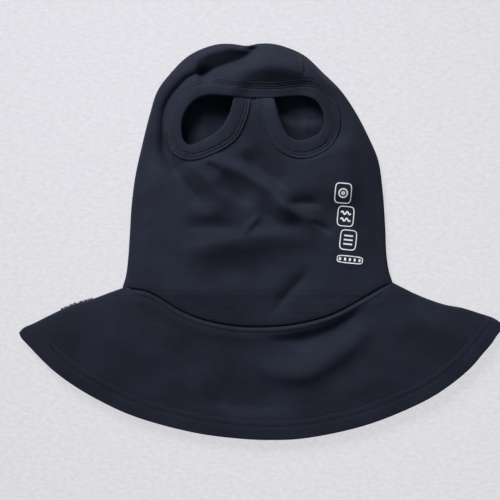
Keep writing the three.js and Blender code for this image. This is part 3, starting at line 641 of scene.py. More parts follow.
@dataclass
class Panel:
    """One cut panel of cloth, as a closed sheet on a plan grid."""

    name: str
    node: str
    side: Side
    body: Body

    def sheet(self, plan: Array, wall: Array, keep: Array | None = None) -> bpy.types.Object:
        """Builds the panel.

        The outer face is the body's form on the grid. The inner face lies a wall's thickness
        inside it, along the normals, which are level on the free edge.

        Args:
            plan: plan grid, rows by columns.
            wall: thickness of each grid row.
            keep: cells that are cloth, all of them when left out.

        Returns:
            The panel's object.
        """
        rows, columns = plan.shape[:2]
        flat = plan.reshape(-1, 2)
        front = self.side is Side.FRONT
        height = self.body.front(flat) if front else self.body.back(flat)
        outer = np.column_stack([flat, height]).reshape(rows, columns, 3)
        normal = grid_normals(outer) * (1 if front else -1)
        near = nearest(flat, self.body.free_edge)
        on_edge = (near.distance < 0.02).reshape(rows, columns)
        level = normal * [1, 1, 0]
        level /= np.maximum(np.linalg.norm(level, axis=-1, keepdims=True), 1e-9)
        normal = np.where(on_edge[..., None], level, normal)
        inner = outer - normal * wall[:, None, None]
        if not front:
            inner[..., 2] += self.body.back_inside(flat).reshape(rows, columns)
        self.round_hem(outer, inner, flat)
        faces = sheet_faces(rows, columns, np.ones((rows - 1, columns - 1), bool) if keep is None else keep)
        layers = (outer, inner) if front else (inner, outer)
        points = np.vstack([layer.reshape(-1, 3) for layer in layers])
        return make_object(self.name, points, faces)

    def round_hem(self, outer: Array, inner: Array, flat: Array) -> None:
        """Rounds the turned hem: both faces close almost on their middle, as a half circle."""
        if "cape" not in self.node:
            return
        inward = nearest(flat, self.body.hem_line).distance.reshape(outer.shape[:2])
        radius = self.body.hem_cloth / 2
        left = 1 - np.clip(inward / radius, 0, 1)
        close = (1 - np.sqrt(1 - left**2)) * 0.96
        middle = (outer[..., 2] + inner[..., 2]) / 2
        outer[..., 2] += (middle - outer[..., 2]) * close
        inner[..., 2] += (middle - inner[..., 2]) * close


# Finishes


def linear(colour: str) -> tuple[float, float, float, float]:
    """An sRGB colour in hex as linear red, green, blue and full alpha."""
    parts = [int(colour[i : i + 2], 16) / 255 for i in (1, 3, 5)]
    red, green, blue = (p / 12.92 if p <= 0.04045 else ((p + 0.055) / 1.055) ** 2.4 for p in parts)
    return red, green, blue, 1.0


def add(
    tree: Tree,
    kind: str,
    settings: dict[str, object] | None = None,
    sockets: dict[str | int, object] | None = None,
) -> bpy.types.Node:
    """Adds a node, sets its properties, and sets or links its inputs.

    Args:
        tree: the material's or world's node tree.
        kind: the node's type name.
        settings: properties and their values.
        sockets: inputs by name or number, each with a value or another node's output.

    Returns:
        The node.
    """
    node = tree.nodes.new(kind)
    for key, value in (settings or {}).items():
        setattr(node, key, value)
    for key, value in (sockets or {}).items():
        if isinstance(value, bpy.types.NodeSocket):
            tree.links.new(value, node.inputs[key])
        else:
            node.inputs[key].default_value = value
    return node


def fresh_material(name: str, place: str = "Object") -> tuple[bpy.types.Material, Tree, Socket]:
    """A material with nothing in it but its output and the coordinates for its textures."""
    material = bpy.data.materials.new(name)
    material.use_nodes = True
    tree = material.node_tree
    tree.nodes.clear()
    add(tree, "ShaderNodeOutputMaterial")
    return material, tree, add(tree, "ShaderNodeTexCoord").outputs[place]


def cover(tree: Tree, sockets: dict[str, object]) -> None:
    """Adds the surface with these inputs and links it to the material's output."""
    surface = add(tree, "ShaderNodeBsdfPrincipled", None, sockets)
    tree.links.new(surface.outputs[0], tree.get_output_node("ALL").inputs["Surface"])


def noise(
    tree: Tree, place: Socket, scale: float, detail: float, rough: float = 0.5, dimensions: str = "3D"
) -> Socket:
    """Adds a noise texture of so many cells to a metre."""
    sockets = {"Vector": place, "Scale": scale, "Detail": detail, "Roughness": rough}
    return add(tree, "ShaderNodeTexNoise", {"noise_dimensions": dimensions}, sockets).outputs["Fac"]


def ranged(tree: Tree, value: Socket, given: Place, wanted: Place) -> Socket:
    """Turns a given range of a value into the wanted one, held at both ends."""
    sockets = {0: value, 1: given[0], 2: given[1], 3: wanted[0], 4: wanted[1]}
    return add(tree, "ShaderNodeMapRange", None, sockets).outputs[0]


def weighted(tree: Tree, value: Socket, weight: float, rest: Socket) -> Socket:
    """Adds a value times its weight to the rest."""
    sockets = {0: value, 1: weight, 2: rest}
    return add(tree, "ShaderNodeMath", {"operation": "MULTIPLY_ADD"}, sockets).outputs[0]


def mixed(tree: Tree, share: Socket, first: str | Socket, second: str | Socket) -> Socket:
    """Mixes two colours, each given in hex or by another node."""
    one, two = (linear(colour) if isinstance(colour, str) else colour for colour in (first, second))
    return add(tree, "ShaderNodeMix", {"data_type": "RGBA"}, {0: share, 6: one, 7: two}).outputs[2]


def bumped(tree: Tree, height: Socket, strength: float, depth: float) -> Socket:
    """Normals of a relief whose depth is in millimetres."""
    sockets = {"Height": height, "Strength": strength, "Distance": depth * MM}
    return add(tree, "ShaderNodeBump", None, sockets).outputs[0]


WAVE_MM = 2 * math.pi / 20 * 1000  # period in millimetres of Blender's wave texture at scale 1


@dataclass(frozen=True)
class KnitFinish:
    """Flame-resistant double knit of spun aramid, piece dyed navy.

    Spun yarn is hairy, so it has no gloss and a faint bloom at grazing angles, and its dye takes
    unevenly from fibre to fibre.
    """

    name: str
    dark: str
    light: str
    course: float = 2.3  # real courses are about 1 mm apart; drawn coarser, as the picture shows them
    wale: float = 1.9
    streak: tuple[float, float] = (14.0, 1.9)  # length and height of the faint streaks along a course
    relief: float = 0.17
    bloom: float = 0.10
    follows_piece: bool = False

    def material(self) -> bpy.types.Material:
        """Builds the node material: courses, wales, streaks, hairs, uneven dye and a little lint."""
        material, tree, place = fresh_material(self.name, "UV" if self.follows_piece else "Object")
        hairs = noise(tree, place, 700.0, 2.0)
        courses = add(tree, "ShaderNodeTexWave", {"wave_type": "BANDS", "bands_direction": "Y"},
                      {"Vector": place, "Scale": WAVE_MM / self.course, "Distortion": 3.0, "Detail": 2.0,
                       "Detail Scale": 0.35})
        wales = add(tree, "ShaderNodeTexWave", {"wave_type": "BANDS", "bands_direction": "X"},
                    {"Vector": place, "Scale": WAVE_MM / self.wale, "Distortion": 1.5, "Detail": 1.0})
        length, height = self.streak
        drawn = add(tree, "ShaderNodeMapping", None,
                    {"Vector": place, "Scale": (1000 / length, 1000 / height, 1000 / length)})
        streaks = noise(tree, drawn.outputs[0], 1.0, 2.0)
        loops = weighted(tree, wales.outputs["Fac"], 0.4, courses.outputs["Fac"])
        cloth = weighted(tree, streaks, 1.5, weighted(tree, hairs, 1.4, loops))
        dye = weighted(tree, cloth, 0.18, noise(tree, place, 22.0, 6.0, 0.6))
        dyed = mixed(tree, ranged(tree, dye, (0.55, 1.3), (0.0, 1.0)), self.dark, self.light)
        specks = add(tree, "ShaderNodeTexVoronoi", None, {"Vector": place, "Scale": 38.0})
        lint = ranged(tree, specks.outputs["Distance"], (0.014, 0.03), (0.25, 0.0))
        cover(tree, {
            "Base Color": mixed(tree, lint, dyed, "#7C8494"), "Roughness": 0.92, "Specular IOR Level": 0.15,
            "Sheen Weight": self.bloom, "Sheen Roughness": 0.5, "Sheen Tint": linear("#66718A"),
            "Normal": bumped(tree, cloth, 0.5, self.relief),
        })
        return material


@dataclass(frozen=True)
class ThreadFinish:
    """Spun aramid sewing thread: two plies twisted, dyed to match the knit."""

    name: str
    colour: str
    twist: float = 0.5  # millimetres from ply to ply

    def material(self) -> bpy.types.Material:
        """Builds the node material."""
        material, tree, place = fresh_material(self.name)
        plies = add(tree, "ShaderNodeTexWave", {"bands_direction": "DIAGONAL"},
                    {"Vector": place, "Scale": WAVE_MM / self.twist})
        cover(tree, {
            "Base Color": linear(self.colour), "Roughness": 0.7, "Specular IOR Level": 0.3,
            "Sheen Weight": 0.2, "Normal": bumped(tree, plies.outputs["Fac"], 0.4, 0.08),
        })
        return material


@dataclass(frozen=True)
class RibbonFinish:
    """Woven label ribbon of fine polyester, with pale and red weft picks at its folded edge."""

    name: str
    ground: str
    pale: str
    red: str

    def material(self) -> bpy.types.Material:
        """Builds the node material."""
        material, tree, place = fresh_material(self.name, "UV")
        picks = ranged(tree, noise(tree, place, 420.0, 1.0, dimensions="2D"), (0.55, 0.62), (0.0, 0.8))
        bands = ranged(tree, noise(tree, place, 210.0, 0.0, dimensions="2D"), (0.53, 0.58), (0.0, 1.0))
        woven = mixed(tree, picks, self.ground, self.pale)
        cover(tree, {"Base Color": mixed(tree, bands, woven, self.red), "Roughness": 0.6,
                     "Specular IOR Level": 0.35})
        return material


@dataclass(frozen=True)
class TransferFinish:
    """Heat transfer film of soft polyurethane, printed white, thinly cracked by the knit under it."""

    name: str
    colour: str
    worn: str

    def material(self) -> bpy.types.Material:
        """Builds the node material."""
        material, tree, place = fresh_material(self.name)
        cracks = ranged(tree, noise(tree, place, 1400.0, 2.0), (0.5, 0.7), (0.0, 0.6))
        cover(tree, {"Base Color": mixed(tree, cracks, self.colour, self.worn), "Roughness": 0.55,
                     "Specular IOR Level": 0.35})
        return material


@dataclass(frozen=True)
class FloorFinish:
    """Opal acrylic top of a light table, roughly sanded, whose own light fills in the shadows."""

    name: str
    colour: str
    glow: str
    strength: float
    grain: float = 3.4  # millimetres

    def material(self) -> bpy.types.Material:
        """Builds the node material: a sanding grain, drawn out one way, in the glow and the relief."""
        material, tree, place = fresh_material(self.name)
        sanded = add(tree, "ShaderNodeMapping", None,
                     {"Vector": place, "Rotation": (0.0, 0.0, 0.5), "Scale": (0.55, 1.0, 1.0)})
        grain = noise(tree, sanded.outputs[0], 1000 / self.grain, 3.0, 0.65)
        shade = ranged(tree, grain, (0.3, 0.7), (0.93, 1.07))
        glow = add(tree, "ShaderNodeMath", {"operation": "MULTIPLY"}, {0: shade, 1: self.strength})
        cover(tree, {
            "Base Color": linear(self.colour), "Roughness": 0.8, "Specular IOR Level": 0.2,
            "Emission Color": linear(self.glow), "Emission Strength": glow.outputs[0],
            "Normal": bumped(tree, grain, 0.4, 0.8),
        })
        return material


@dataclass(frozen=True)
class Wardrobe:
    """Every finish of the garment."""

    knit: KnitFinish = KnitFinish("aramid double knit, navy", "#151822", "#262B3A")
    tape: KnitFinish = KnitFinish("aramid knitted tape, navy", "#151822", "#262B3A", course=1.5, wale=3.1,
                                  streak=(12.0, 1.5), relief=0.14, follows_piece=True)
    thread: ThreadFinish = ThreadFinish("spun aramid thread", "#1C2030")
    ribbon: RibbonFinish = RibbonFinish("woven polyester ribbon", "#2A2D40", "#E6E2E6", "#A04A55")
    transfer: TransferFinish = TransferFinish("printed transfer film", "#F2F3F5", "#B4B8C2")


def dress(made: bpy.types.Object, material: bpy.types.Material, slot: str, *nodes: str) -> bpy.types.Object:
    """Gives a piece its material and its body, and hides the nodes that it stands for."""
    made.data.materials.append(material)
    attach(made, "root")
    if nodes:
        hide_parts(*nodes)
    LOG.info("%s: %d faces", made.name, len(made.data.polygons))
    return made


# Sub-assemblies


@dataclass
class Hood:
    """The hood: a front panel with two eye openings, and a back panel on the floor."""

    body: Body
    knit: bpy.types.Material
    cells: tuple[int, int] = (190, 200)
    back_cells: tuple[int, int] = (120, 110)
    width: float = 285.0
    height: float = 270.0
    seam_band: float = 12.0  # the grid is finer this far from the seam
    seam_gap: float = 0.18  # half the clearance to the cape
    hole_clearance: float = 3.0

    def plan(self, seam: Curve, cells: tuple[int, int]) -> Array:
        """Plan grid above a neck seam."""
        body = self.body
        start, end = body.crown_shares()
        across = rim_lines(cells[0], self.width, (True, True), body.roll)
        along = rim_lines(cells[1], self.height, (False, True), body.roll)
        along = finer_at_start(along, self.seam_band / self.height, 26)
        lift = np.array([0.0, self.seam_gap])
        fade = (1 - along)[:, None]
        return coons(
            seam.at(across) + lift,
            body.hood_edge.at(start + across * (end - start)),
            body.hood_edge.at(along * start) + lift * fade,
            body.hood_edge.at(1 + along * (end - 1)) + lift * fade,
            across, along,
        )

    def openings(self, plan: Array) -> Array:
        """Cells of the front that are cloth: those outside both eye openings.

        A cell lies in an opening where the lip's winding angle round its middle is not zero, or
        where it is nearer to the lip than the tape's fold.
        """
        middle = (plan[:-1, :-1] + plan[1:, 1:]) / 2
        flat = middle.reshape(-1, 2)
        lip, body = self.body.lip, self.body
        half = len(body.left_lip)
        spans = ((lip.share_of_row(1), lip.share_of_row(half - 1)),
                 (lip.share_of_row(half), lip.share_of_row(2 * half - 2)))
        inside = np.zeros(len(flat), bool)
        for low, high in spans:
            loop = lip.at(np.linspace(low, high, 90))[:, :2]
            loop = np.vstack([loop, loop[:1]])
            inside |= (winding(flat, loop) > math.pi) | (nearest(flat, loop).distance < self.hole_clearance)
        return ~inside.reshape(middle.shape[:2])

    def build(self) -> list[bpy.types.Object]:
        """Builds and dresses both panels."""
        body = self.body
        plan = self.plan(body.front_seam, self.cells)
        front = Panel("hood_front_cloth", "hood_front", Side.FRONT, body)
        made = front.sheet(plan, np.full(len(plan), body.cloth), self.openings(plan))
        plan = self.plan(body.back_seam, self.back_cells)
        back = Panel("hood_back_cloth", "hood_back", Side.BACK, body)
        behind = back.sheet(plan, np.full(len(plan), body.cloth))
        return [dress(made, self.knit, "knit", "hood_front"), dress(behind, self.knit, "knit", "hood_back")]


def winding(points: Array, loop: Array) -> Array:
    """Size of the angle through which a closed loop turns round each point."""
    total = np.zeros(len(points))
    before = loop[0] - points
    for corner in loop[1:]:
        after = corner - points
        cross = before[:, 0] * after[:, 1] - before[:, 1] * after[:, 0]
        total += np.arctan2(cross, (before * after).sum(1))
        before = after
    return np.abs(total)


@dataclass
class Cape:
    """The cape below the neck seam, with its turned and twice-stitched hem."""

    body: Body
    knit: bpy.types.Material
    thread: bpy.types.Material
    cells: tuple[int, int] = (270, 66)
    back_cells: tuple[int, int] = (200, 40)
    width: float = 534.0
    depth: float = 124.0  # from hem to seam in the middle
    seam_band: float = 12.0  # the grid is finer this far from the seam
    seam_gap: float = 0.18  # half the clearance to the hood
    stitch: float = 3.0
    stitch_length: float = 2.1
    bare_end: float = 30.0  # of the hem, without stitches

    def plan(self, seam: Curve, cells: tuple[int, int]) -> Array:
        """Plan grid from the hem, row 0, to a neck seam."""
        body = self.body
        across = rim_lines(cells[0], self.width, (True, True), body.roll)
        near_hem = np.concatenate([[0, 0.12, 0.4, 0.8, 1.3], np.linspace(2.0, 26.0, 30)]) / self.depth
        along = np.concatenate([near_hem, np.linspace(near_hem[-1], 1, cells[1])[1:]])
        along = 1 - finer_at_start(1 - along[::-1], self.seam_band / self.depth, 20)[::-1]
        drop = np.array([0.0, -self.seam_gap])
        fade = along[:, None]
        return coons(
            body.hem.at(across), seam.at(across) + drop,
            body.left_side.at(along) + drop * fade, body.right_side.at(along) + drop * fade,
            across, along,
        )

    def walls(self, plan: Array) -> Array:
        """Thickness of each grid row: doubled cloth in the hem, eased to single cloth above it."""
        inward = nearest(plan[:, plan.shape[1] // 2], self.body.hem_line).distance
        return self.body.hem_cloth + (self.body.cloth - self.body.hem_cloth) * ease(inward, 21, 23)

    def hem_stitches(self) -> bpy.types.Object:
        """Two rows of short stitches that follow the hem."""
        body, hem = self.body, self.body.hem
        parts = []
        for inward in body.hem_rows:
            count = int((hem.length - 2 * self.bare_end) / self.stitch)
            shares = (self.bare_end + np.arange(count) * self.stitch) / hem.length
            places = []
            for at in (shares, shares + self.stitch_length / hem.length):
                end = hem.at(at) + hem.left(at) * inward
                places.append(np.column_stack([end, body.front(end)]) + np.array([0, 0, 0.18]))
            parts.append(threads(places[0], places[1], 0.42))
        points, faces = join_meshes(parts)
        return make_object("hem_stitches", points, faces)

    def build(self) -> list[bpy.types.Object]:
        """Builds and dresses both panels and the hem stitches."""
        body = self.body
        plan = self.plan(body.front_seam, self.cells)
        front = Panel("cape_front_cloth", "cape_front", Side.FRONT, body).sheet(plan, self.walls(plan))
        plan = self.plan(body.back_seam, self.back_cells)
        back = Panel("cape_back_cloth", "cape_back", Side.BACK, body).sheet(plan, self.walls(plan))
        return [
            dress(front, self.knit, "knit", "cape_front"),
            dress(back, self.knit, "knit", "cape_back"),
            dress(self.hem_stitches(), self.thread, "knit"),
        ]


@dataclass
class EyeTapes:
    """The folded tapes round the eye openings, with their stitches."""

    body: Body
    tape: bpy.types.Material
    thread: bpy.types.Material
    ply: float = 1.5
    step: float = 1.3
    stitch: float = 2.9
    stitch_length: float = 2.4
    bed: float = 0.28  # how far the stitches sink into the tape
    nose_rows: tuple[float, ...] = (2.8, 5.9)  # from the outer edge
    brow_rows: tuple[float, ...] = (2.6, 5.0, 7.4)
    overlap: float = 1.7  # height of the brow tape over the nose tapes
    overlap_end: float = 16.0

    def section(self) -> tuple[Array, Array, Array]:
        """Half sections of a folded tape, from its outer edge to the lip and back underneath.

        Returns:
            Shares of the width out from the lip, heights above the cloth's upper face, and which
            points hang from the lower face.
        """
        stitched, plain = np.linspace(0.945, 0.5, 30), np.linspace(0.46, 0.16, 9)
        top = np.concatenate([[1.0, 1.0, 0.988, 0.965], stitched, plain, [0.12, 0.08, 0.045, 0.018, 0.0]])
        flat = np.ones(len(stitched) + len(plain))
        risen = np.concatenate([[0.0, 0.55, 0.9, 1.0], flat, [0.97, 0.88, 0.7, 0.42, 0.0]]) * self.ply
        share = np.concatenate([top, top[::-1]])
        height = np.concatenate([risen, -risen[::-1]])
        lower = np.concatenate([np.zeros(len(top), bool), np.ones(len(top), bool)])
        return share, height, lower

    def sweep(
        self, name: str, low: float, high: float, lift: Callable[[Array], Array], seams: Sequence[float]
    ) -> bpy.types.Object:
        """Carries the section along part of the lip.

        At each station the section is set out square to the lip; its upper points stand on the
        cloth's outer face and its lower points hang under the inner face. Where lift is above
        zero the tape is a flat doubled strip that lies on its neighbours. Each stitch row draws
        the tape in as a bell-shaped groove, and the tape puffs up between its stitches.

        Args:
            name: the piece's name.
            low: share of the lip where the tape starts.
            high: share of the lip where it ends.
            lift: height of the flat strip above the cloth, at shares of the lip.
            seams: distances of the stitch rows from the tape's outer edge.

        Returns:
            The object.
        """
        lip = self.body.lip
        shares = np.linspace(low, high, max(2, int((high - low) * lip.length / self.step)))
        share, height, lower = self.section()
        rows = lip.at(shares)
        width = rows[:, 2] * self.body.tape_width
        out = share[None] * width[:, None]
        plan = rows[:, None, :2] + out[..., None] * lip.left(shares)[:, None]
        flat = plan.reshape(-1, 2)
        places, normal = self.body.frame(flat)
        cloth = places[:, 2].reshape(out.shape)
        under = (self.body.cloth / normal[:, 2]).reshape(out.shape)
        from_edge = width[:, None] - out
        dips = sum(bell(from_edge - row, 0.75) for row in seams)
        around = np.sin(2 * math.pi * shares * lip.length / self.stitch)[:, None]
        padded = np.clip(out / (0.72 * width[:, None]), 0, 1)
        puff = 0.12 * around * bell(from_edge, 9) + 0.55 * np.sin(padded * math.pi)
        raised = lift(shares)[:, None]
        flatten = np.clip(raised / 1.2, 0, 1)
        top = cloth + 0.1 + height[None] - 0.75 * dips + puff + raised
        hang = cloth - under * (1 - flatten) + height[None] * (1 - 0.6 * flatten) + raised + 0.5 * flatten
        z = np.where(lower[None], hang, top)
        points = np.concatenate([plan, z[..., None]], axis=-1).reshape(-1, 3)
        faces = tube_faces(len(shares), len(share))
        made = make_object(name, points, faces)
        pattern = np.stack([np.broadcast_to((shares * lip.length)[:, None], out.shape), out], axis=-1)
        set_pattern(made, pattern.reshape(-1, 2), faces)
        return made

    def stitch_rows(
        self, low: float, high: float, lift: Callable[[Array], Array], rows: Sequence[float]
    ) -> tuple[Array, Array]:
        """Rows of stitches along part of the lip, at distances in from the tape's outer edge."""
        lip = self.body.lip
        parts = []
        for row in rows:
            count = int((high - low) * lip.length / self.stitch)
            shares = low + (np.arange(count) + 0.3) * self.stitch / lip.length
            ends = []
            for at in (shares, shares + self.stitch_length / lip.length):
                rows_at = lip.at(at)
                out = rows_at[:, 2] * self.body.tape_width - row
                plan = rows_at[:, :2] + lip.left(at) * out[:, None]
                rise = self.body.front(plan) + self.ply - self.bed + lift(at)
                ends.append(np.column_stack([plan, rise]))
            parts.append(threads(ends[0], ends[1], 0.3, 0.25))
        return join_meshes(parts)

    def build(self) -> list[bpy.types.Object]:
        """Builds the brow tape, both nose tapes and all their stitches."""
        lip, half = self.body.lip, len(self.body.left_lip)
        join_left, join_right = lip.share_of_row(8), lip.share_of_row(half + 8)
        end_left, start_right = lip.share_of_row(half - 1), lip.share_of_row(half)
        margin = self.overlap_end / lip.length

        def over_nose(share: Array) -> Array:
            """Height of the brow tape above the cloth, where it lies over the nose tapes."""
            down = 1 - ease(share, start_right, start_right + margin)
            return self.overlap * (ease(share, end_left - margin, end_left) * down)

        def level(share: Array) -> Array:
            """No lift."""
            return np.zeros_like(share)

        gap = 0.05 / lip.length  # half the space between two tapes' ends
        brow = self.sweep("brow_tape", join_left + gap, join_right - gap, over_nose, self.brow_rows)
        left = self.sweep("left_nose_tape", 0.004, join_left - gap, level, self.nose_rows)
        right = self.sweep("right_nose_tape", join_right + gap, 0.996, level, self.nose_rows)
        seams = join_meshes([
            self.stitch_rows(join_left + gap, join_right - gap, over_nose, self.brow_rows),
            self.stitch_rows(0.06, join_left - gap, level, self.nose_rows),
            self.stitch_rows(join_right + gap, 0.94, level, self.nose_rows),
        ])
        stitches = make_object("tape_stitches", *seams)
        return [
            dress(brow, self.tape, "tape", "brow_band"),
            dress(left, self.tape, "tape", "left_nose_binding"),
            dress(right, self.tape, "tape", "right_nose_binding"),
            dress(stitches, self.thread, "tape"),
        ]


@dataclass
class CrownSeam:
    """Flat-lock rungs over the right-hand seam of the three-panel crown."""

    body: Body
    thread: bpy.types.Material
    path: tuple[Place, ...] = ((42.5, 205.5), (44.6, 197.0), (45.4, 188.0), (44.8, 179.5))
    reach: float = 2.9
    pitch: float = 2.4

    def build(self) -> list[bpy.types.Object]:
        """Builds and dresses the rungs."""
        curve = Curve(self.path)
        shares = np.arange(int(curve.length / self.pitch)) * self.pitch / curve.length
        ends = []
        for sign, slant in ((1.0, 0.0), (-1.0, 0.8)):
            at = shares + slant / curve.length
            plan = curve.at(at) + curve.left(at) * sign * self.reach
            ends.append(np.column_stack([plan, self.body.front(plan) + 0.3]))
        made = make_object("crown_seam_stitches", *threads(ends[0], ends[1], 0.42))
        return [dress(made, self.thread, "knit")]


class Figure(Enum):
    """Plain figures inside the cheek marks."""

    DOT = "dot"
    WAVES = "waves"
    BARS = "bars"
    STRIP = "strip"


@dataclass
class CheekMark:
    """One small printed transfer: an outline with a plain figure in it, free of any lettering."""

    node: str
    place: Place
    turn: float
    size: Place
    figure: Figure
    body: Body
    film: bpy.types.Material
    line: float = 1.1
    film_thickness: float = 0.35

    def ribbon(self, path: Array, width: float, closed: bool) -> tuple[Array, Array]:
        """A flat strip of film along a path on the mark's own plane.

        Two rows of points run beside the path at half the width; the film's top is lifted off
        the cloth by its thickness and its underside lies just above it.
        """
        run = np.roll(path, -1, 0) - np.roll(path, 1, 0) if closed else np.gradient(path, axis=0)
        run /= np.maximum(np.linalg.norm(run, axis=1, keepdims=True), 1e-9)
        side = np.stack([-run[:, 1], run[:, 0]], axis=-1) * width / 2
        edges = np.stack([path + side, path - side], axis=1)
        angle = math.radians(self.turn)
        spin = np.array([[math.cos(angle), math.sin(angle)], [-math.sin(angle), math.cos(angle)]])
        plan = edges.reshape(-1, 2) @ spin + self.place
        z = self.body.front(plan).reshape(-1, 2)
        plan = plan.reshape(-1, 2, 2)
        top = np.concatenate([plan, (z + self.film_thickness)[..., None]], axis=-1)
        low = np.concatenate([plan, (z + 0.02)[..., None]], axis=-1)
        rings = np.stack([top[:, 1], top[:, 0], low[:, 0], low[:, 1]], axis=1)
        if closed:
            index = np.arange(len(path) * 4).reshape(-1, 4)
            after = np.roll(index, -1, 0)
            corners = [index, np.roll(index, -1, 1), np.roll(after, -1, 1), after]
            faces = np.stack(corners, axis=-1).reshape(-1, 4)
        else:
            faces = tube_faces(len(path), 4)
        return rings.reshape(-1, 3), faces

    def frame_path(self, share: float) -> Array:
        """Rounded rectangle, a superellipse of power five, at a share of the mark's size."""
        turn = np.linspace(0, 2 * math.pi, 72, endpoint=False)
        bow = [np.sign(f(turn)) * np.abs(f(turn)) ** 0.4 for f in (np.cos, np.sin)]
        return np.stack([bow[0] * self.size[0] / 2, bow[1] * self.size[1] / 2], axis=-1) * share

    def build(self) -> list[bpy.types.Object]:
        """Builds and dresses the mark."""
        wide, high = self.size
        parts = [self.ribbon(self.frame_path(0.93), self.line, True)]
        if self.figure is Figure.DOT:
            turn = np.linspace(0, 2 * math.pi, 40, endpoint=False)
            ring = np.stack([np.cos(turn), np.sin(turn)], axis=-1)
            parts += [self.ribbon(ring * wide * share, self.line * 1.5, True) for share in (0.24, 0.07)]
        elif self.figure is Figure.WAVES:
            along = np.linspace(-0.28, 0.28, 24)
            for level in (-0.16, 0.16):
                wave = np.stack([along * wide, (level + 0.07 * np.sin(along * 22)) * high], axis=-1)
                parts.append(self.ribbon(wave, self.line * 1.5, False))
        elif self.figure is Figure.BARS:
            for level in (-0.2, 0.0, 0.2):
                line = np.linspace([-0.26 * wide, level * high], [0.26 * wide, level * high], 8)
                parts.append(self.ribbon(line, self.line * 1.6, False))
        else:
            for level in np.linspace(-0.36, 0.36, 5):
                line = np.linspace([level * wide, -0.2 * high], [level * wide, 0.2 * high], 4)
                parts.append(self.ribbon(line, self.line * 2.2, False))
        made = make_object(self.node.replace("mark", "transfer"), *join_meshes(parts))
        return [dress(made, self.film, "transfer", self.node)]


@dataclass
class SideLabel:
    """Woven label folded in two and caught in the left side seam of the cape."""

    body: Body
    ribbon: bpy.types.Material
    start: Place = (-221.0, -73.8)
    end: Place = (-185.3, -62.2)
    length: float = 36.0
    shown: float = 1.4
    hidden: float = 4.0
    radius: float = 0.55

    def build(self) -> list[bpy.types.Object]:
        """Builds and dresses the label: a flat loop of ribbon carried along the seam."""
        share = np.linspace(0, 1, 40)
        line = np.array(self.start) + share[:, None] * (np.array(self.end) - self.start)
        near = nearest(line, self.body.free_edge)
        edge = line - near.away * near.distance[:, None]
        run = np.gradient(edge, axis=0)
        run /= np.linalg.norm(run, axis=1, keepdims=True)
        out = np.stack([-run[:, 1], run[:, 0]], axis=-1)
        turn = np.linspace(-math.pi / 2, math.pi / 2, 7)
        fold = self.shown + self.radius * (np.cos(turn) - 1)
        reach = np.concatenate([[-self.hidden], fold, [-self.hidden]])
        rise = np.concatenate([[-self.radius], self.radius * np.sin(turn), [self.radius]])
        ring = edge[:, None] + reach[None, :, None] * out[:, None]
        z = np.broadcast_to(self.body.roll + rise, ring.shape[:2])
        points = np.concatenate([ring, z[..., None]], axis=-1)[:, ::-1]
        # One point more, just under the last, lets the caps pair up
        points = np.concatenate([points, points[:, -1:]], axis=1)
        points[:, -1, 2] -= 0.02
        faces = tube_faces(len(share), points.shape[1])
        made = make_object("woven_label", points.reshape(-1, 3), faces)
        along = np.broadcast_to((share * self.length)[:, None], points.shape[:2])
        pattern = np.stack([along, points[..., 2]], axis=-1)
        set_pattern(made, pattern.reshape(-1, 2), faces)
        return [dress(made, self.ribbon, "label", "side_label")]


@dataclass(frozen=True)
class SoftLight:
    """A square light, gridded where its spread is below 180 degrees."""

    name: str
    place: tuple[float, float, float]
    watts: float
    metres: float
    spread: float


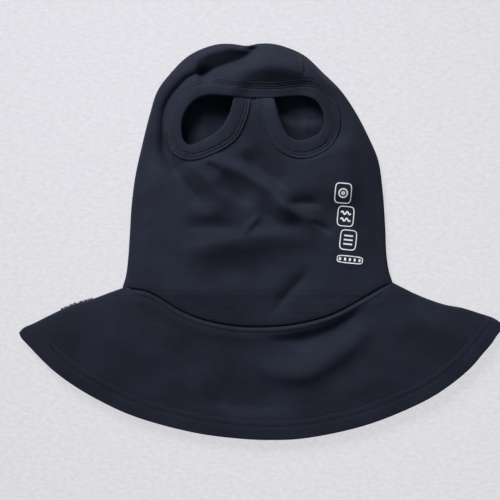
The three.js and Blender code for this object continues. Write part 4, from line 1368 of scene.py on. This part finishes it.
@dataclass
class Studio:
    """Pale floor, soft light from the upper left, and a camera straight above."""

    aim: Place = (-12.0, -9.4)
    brightest: Place = (-50.0, 165.0)  # the lights point at the crown
    height: float = 1500.0
    cloth_height: float = 8.0
    covered: float = 550.0
    film: float = 36.0
    floor_size: float = 6000.0
    lamps: tuple[SoftLight, ...] = (
        SoftLight("window", (-640.0, 1235.0, 900.0), 4.5, 0.9, 44.0),
        SoftLight("card", (1300.0, -900.0, 1600.0), 2.0, 1.6, 180.0),
    )

    def build(self) -> None:
        """Sets up the floor, the lights and the camera."""
        self.floor()
        self.lights()
        self.camera()

    def floor(self) -> None:
        """The top of a large light table, just under the garment."""
        half = self.floor_size / 2
        turns = ((-1, -1), (1, -1), (1, 1), (-1, 1))
        corners = np.array([[x * half, y * half, -0.3] for x, y in turns])
        made = make_object("floor", corners, np.array([[0, 1, 2, 3]]))
        finish = FloorFinish("sanded opal acrylic", "#5E5D62", "#FBFAFF", 0.65)
        made.data.materials.append(finish.material())

    def lights(self) -> None:
        """A large soft light with a grid at the upper left, a weak one opposite, and a pale sky."""
        world = bpy.data.worlds.new("studio")
        bpy.context.scene.world = world
        world.use_nodes = True
        tree = world.node_tree
        tree.nodes.clear()
        sky = add(tree, "ShaderNodeBackground", None, {"Color": linear("#F0F2FA"), "Strength": 0.23})
        tree.links.new(sky.outputs[0], add(tree, "ShaderNodeOutputWorld").inputs["Surface"])
        crown = Vector((*self.brightest, 0)) * MM
        for soft in self.lamps:
            light = bpy.data.lights.new(soft.name, "AREA")
            light.energy = soft.watts
            light.size = soft.metres
            light.spread = math.radians(soft.spread)
            lamp = bpy.data.objects.new(soft.name, light)
            lamp.location = Vector(soft.place) * MM
            lamp.rotation_euler = (crown - lamp.location).to_track_quat("-Z", "Y").to_euler()
            bpy.context.scene.collection.objects.link(lamp)

    def camera(self) -> None:
        """A camera straight above the aim, whose picture covers the stated width near the cloth."""
        data = bpy.data.cameras.new("above")
        data.sensor_width = self.film
        data.lens = self.film * (self.height - self.cloth_height) / self.covered
        data.clip_end = 20.0
        eye = bpy.data.objects.new("above", data)
        eye.location = Vector((self.aim[0], self.aim[1], self.height)) * MM
        bpy.context.scene.collection.objects.link(eye)
        bpy.context.scene.camera = eye


@dataclass
class Balaclava:
    """The whole garment."""

    body: Body = field(default_factory=Body)
    wardrobe: Wardrobe = field(default_factory=Wardrobe)

    def build(self) -> list[bpy.types.Object]:
        """Builds every sub-assembly in order."""
        body, finish = self.body, self.wardrobe
        knit, tape = finish.knit.material(), finish.tape.material()
        thread, film = finish.thread.material(), finish.transfer.material()
        marks = [
            CheekMark("mark_upper", (89.2, 52.4), -4, (19.0, 23.0), Figure.DOT, body, film),
            CheekMark("mark_middle", (92.4, 27.4), -5, (19.0, 23.0), Figure.WAVES, body, film),
            CheekMark("mark_lower", (95.3, 1.6), -6, (19.0, 23.0), Figure.BARS, body, film),
            CheekMark("mark_bar", (97.2, -19.9), -6, (30.0, 8.0), Figure.STRIP, body, film),
        ]
        parts = [
            Hood(body, knit),
            Cape(body, knit, thread),
            EyeTapes(body, tape, thread),
            CrownSeam(body, thread),
            SideLabel(body, finish.ribbon.material()),
            *marks,
        ]
        return [piece for part in parts for piece in part.build()]


def main() -> None:
    """Loads the frame, builds the garment and the studio, sets the view transform and logs the number of
    pieces.
    """
    logging.basicConfig(level=logging.INFO, format="%(name)s: %(message)s")
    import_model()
    pieces = Balaclava().build()
    Studio().build()
    bpy.context.scene.view_settings.view_transform = "Standard"
    LOG.info("%d pieces", len(pieces))


if __name__ == "__main__":
    main()
